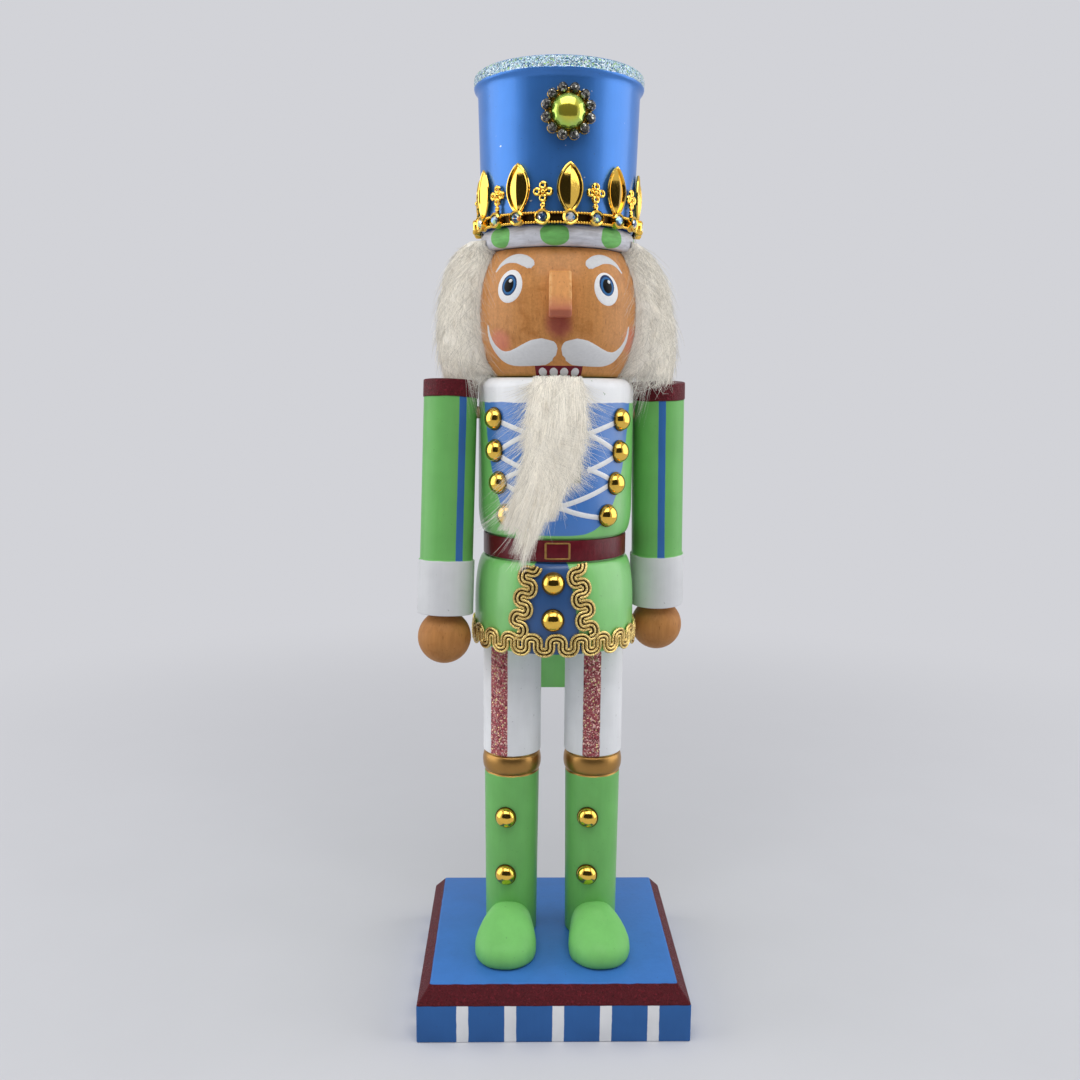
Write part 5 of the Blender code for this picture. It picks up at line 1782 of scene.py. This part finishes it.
class NUTCRACKER_OT_stage(bpy.types.Operator):
    """Pale floor, soft studio light and the camera"""
    bl_idname = "nutcracker.stage"
    bl_label = "Stage"

    pale = (0.645, 0.65, 0.685)

    def seen(self, tree):
        """1 for rays that show the background itself: to the camera, in mirrors and through glass."""
        path = tree.nodes.new("ShaderNodeLightPath")
        seen = path.outputs["Is Camera Ray"]
        for ray in ("Is Glossy Ray", "Is Transmission Ray"):
            either = tree.nodes.new("ShaderNodeMath")
            either.operation = "MAXIMUM"
            tree.links.new(seen, either.inputs[0])
            tree.links.new(path.outputs[ray], either.inputs[1])
            seen = either.outputs[0]
        return seen

    def floor(self):
        """A pale floor that takes the figure's shadow, and far away has the background's own colour."""
        shape = bmesh.new()
        bmesh.ops.create_grid(shape, x_segments=8, y_segments=8, size=12)
        mesh = mesh_of("floor", shape)
        coat = Finish("floor_pale", self.pale, 0.8)
        coat.tinted(coat.noise(60 * MM, detail=5.0), 0.985, 1.01)
        seen = self.seen(coat.tree)
        far = coat.node("ShaderNodeEmission")
        far.inputs["Color"].default_value = (*self.pale, 1)
        mix = coat.node("ShaderNodeMixShader")
        coat.put(mix.inputs[0], coat.both(coat.ramp(coat.reach(), 0.16, 0.75), seen))
        material = coat.done()
        coat.put(mix.inputs[1], coat.shader.outputs[0])
        coat.put(mix.inputs[2], far.outputs[0])
        coat.put(coat.tree.nodes["Material Output"].inputs["Surface"], mix.outputs[0])
        mesh.materials.append(material)
        item = placed("floor", mesh)

    def card(self):
        """A dark card behind the camera, which only mirrors see."""
        shape = bmesh.new()
        stand = Matrix.Translation((0, -0.95, 0.5)) @ Matrix.Rotation(math.pi / 2, 4, "X")
        spread = Matrix.Diagonal((1.0, 0.48, 1, 1))
        bmesh.ops.create_grid(shape, x_segments=2, y_segments=2, size=1, matrix=stand @ spread)
        mesh = mesh_of("dark_card", shape)
        mesh.materials.append(Finish("dark_card", (0.02, 0.02, 0.022), 0.9).done())
        item = placed("dark_card", mesh)
        item.visible_camera = False
        item.visible_diffuse = False
        item.visible_shadow = False

    def lamp(self, name, place, aim, size, power):
        data = bpy.data.lights.new(name, "AREA")
        data.shape = "RECTANGLE"
        data.size, data.size_y = size
        data.energy = power
        item = placed(name, data)
        item.location = place
        item.rotation_euler = (Vector(aim) - Vector(place)).to_track_quat("-Z", "Y").to_euler()

    def sky(self, scene):
        scene.world = bpy.data.worlds.new("studio")
        scene.world.use_nodes = True
        tree = scene.world.node_tree
        tree.nodes.clear()
        mix = tree.nodes.new("ShaderNodeMixShader")
        tree.links.new(self.seen(tree), mix.inputs[0])
        for index, (colour, strength) in enumerate((((0.97, 0.98, 1, 1), 0.36), ((*self.pale, 1), 1.0))):
            light = tree.nodes.new("ShaderNodeBackground")
            light.inputs["Color"].default_value = colour
            light.inputs["Strength"].default_value = strength
            tree.links.new(light.outputs[0], mix.inputs[1 + index])
        tree.links.new(mix.outputs[0], tree.nodes.new("ShaderNodeOutputWorld").inputs["Surface"])

    def camera(self, scene):
        yaw, pitch, roll = 1.259 * DEGREE, 8.22 * DEGREE, 0.484 * DEGREE
        data = bpy.data.cameras.new("photo_camera")
        data.sensor_width = 36
        data.lens = 35
        item = placed("photo_camera", data)
        turn = Matrix.Rotation(-yaw, 4, "Z") @ Matrix.Rotation(math.pi / 2 - pitch, 4, "X")
        turn = turn @ Matrix.Rotation(roll, 4, "Z")
        item.matrix_world = Matrix.Translation((-15.75 * MM, -439.24 * MM, 259.57 * MM)) @ turn
        scene.camera = item

    def execute(self, context):
        scene = context.scene
        self.floor()
        self.card()
        middle = (0, 0, 0.2)
        for name, side in (("left_softbox", -1), ("right_softbox", 1)):
            self.lamp(name, (side * 0.8, -0.02, 0.42), middle, (0.8, 0.9), 3.8)
        self.lamp("top_softbox", (0, -0.45, 1.0), middle, (0.9, 0.6), 4.6)
        self.sky(scene)
        self.camera(scene)
        scene.view_settings.view_transform = "Standard"
        return {"FINISHED"}


# Add-on

STEPS = (NUTCRACKER_OT_stage, NUTCRACKER_OT_base, NUTCRACKER_OT_legs, NUTCRACKER_OT_body,
         NUTCRACKER_OT_jaw, NUTCRACKER_OT_arms, NUTCRACKER_OT_head, NUTCRACKER_OT_hat,
         NUTCRACKER_OT_crown, NUTCRACKER_OT_medallion, NUTCRACKER_OT_studs, NUTCRACKER_OT_braids,
         NUTCRACKER_OT_hair, NUTCRACKER_OT_beard, NUTCRACKER_OT_fixings)


class NUTCRACKER_PT_panel(bpy.types.Panel):
    """Steps that dress the figure, with its sizes and colours"""
    bl_idname = "NUTCRACKER_PT_panel"
    bl_label = "Nutcracker figure"
    bl_space_type = "VIEW_3D"
    bl_region_type = "UI"
    bl_category = "Nutcracker"

    def draw(self, context):
        for step in STEPS:
            self.layout.operator(step.bl_idname)
        for group in (context.scene.nutcracker_sizes, context.scene.nutcracker_colours):
            for name in group.__annotations__:
                self.layout.prop(group, name)


CLASSES = (FigureColours, FigureSizes, *STEPS, NUTCRACKER_PT_panel)


def register():
    for entry in CLASSES:
        bpy.utils.register_class(entry)
    bpy.types.Scene.nutcracker_colours = PointerProperty(type=FigureColours)
    bpy.types.Scene.nutcracker_sizes = PointerProperty(type=FigureSizes)


def unregister():
    del bpy.types.Scene.nutcracker_sizes
    del bpy.types.Scene.nutcracker_colours
    for entry in reversed(CLASSES):
        bpy.utils.unregister_class(entry)


def main():
    register()
    for step in STEPS:
        group, name = step.bl_idname.split(".")
        getattr(getattr(bpy.ops, group), name)()


if __name__ == "__main__":
    main()
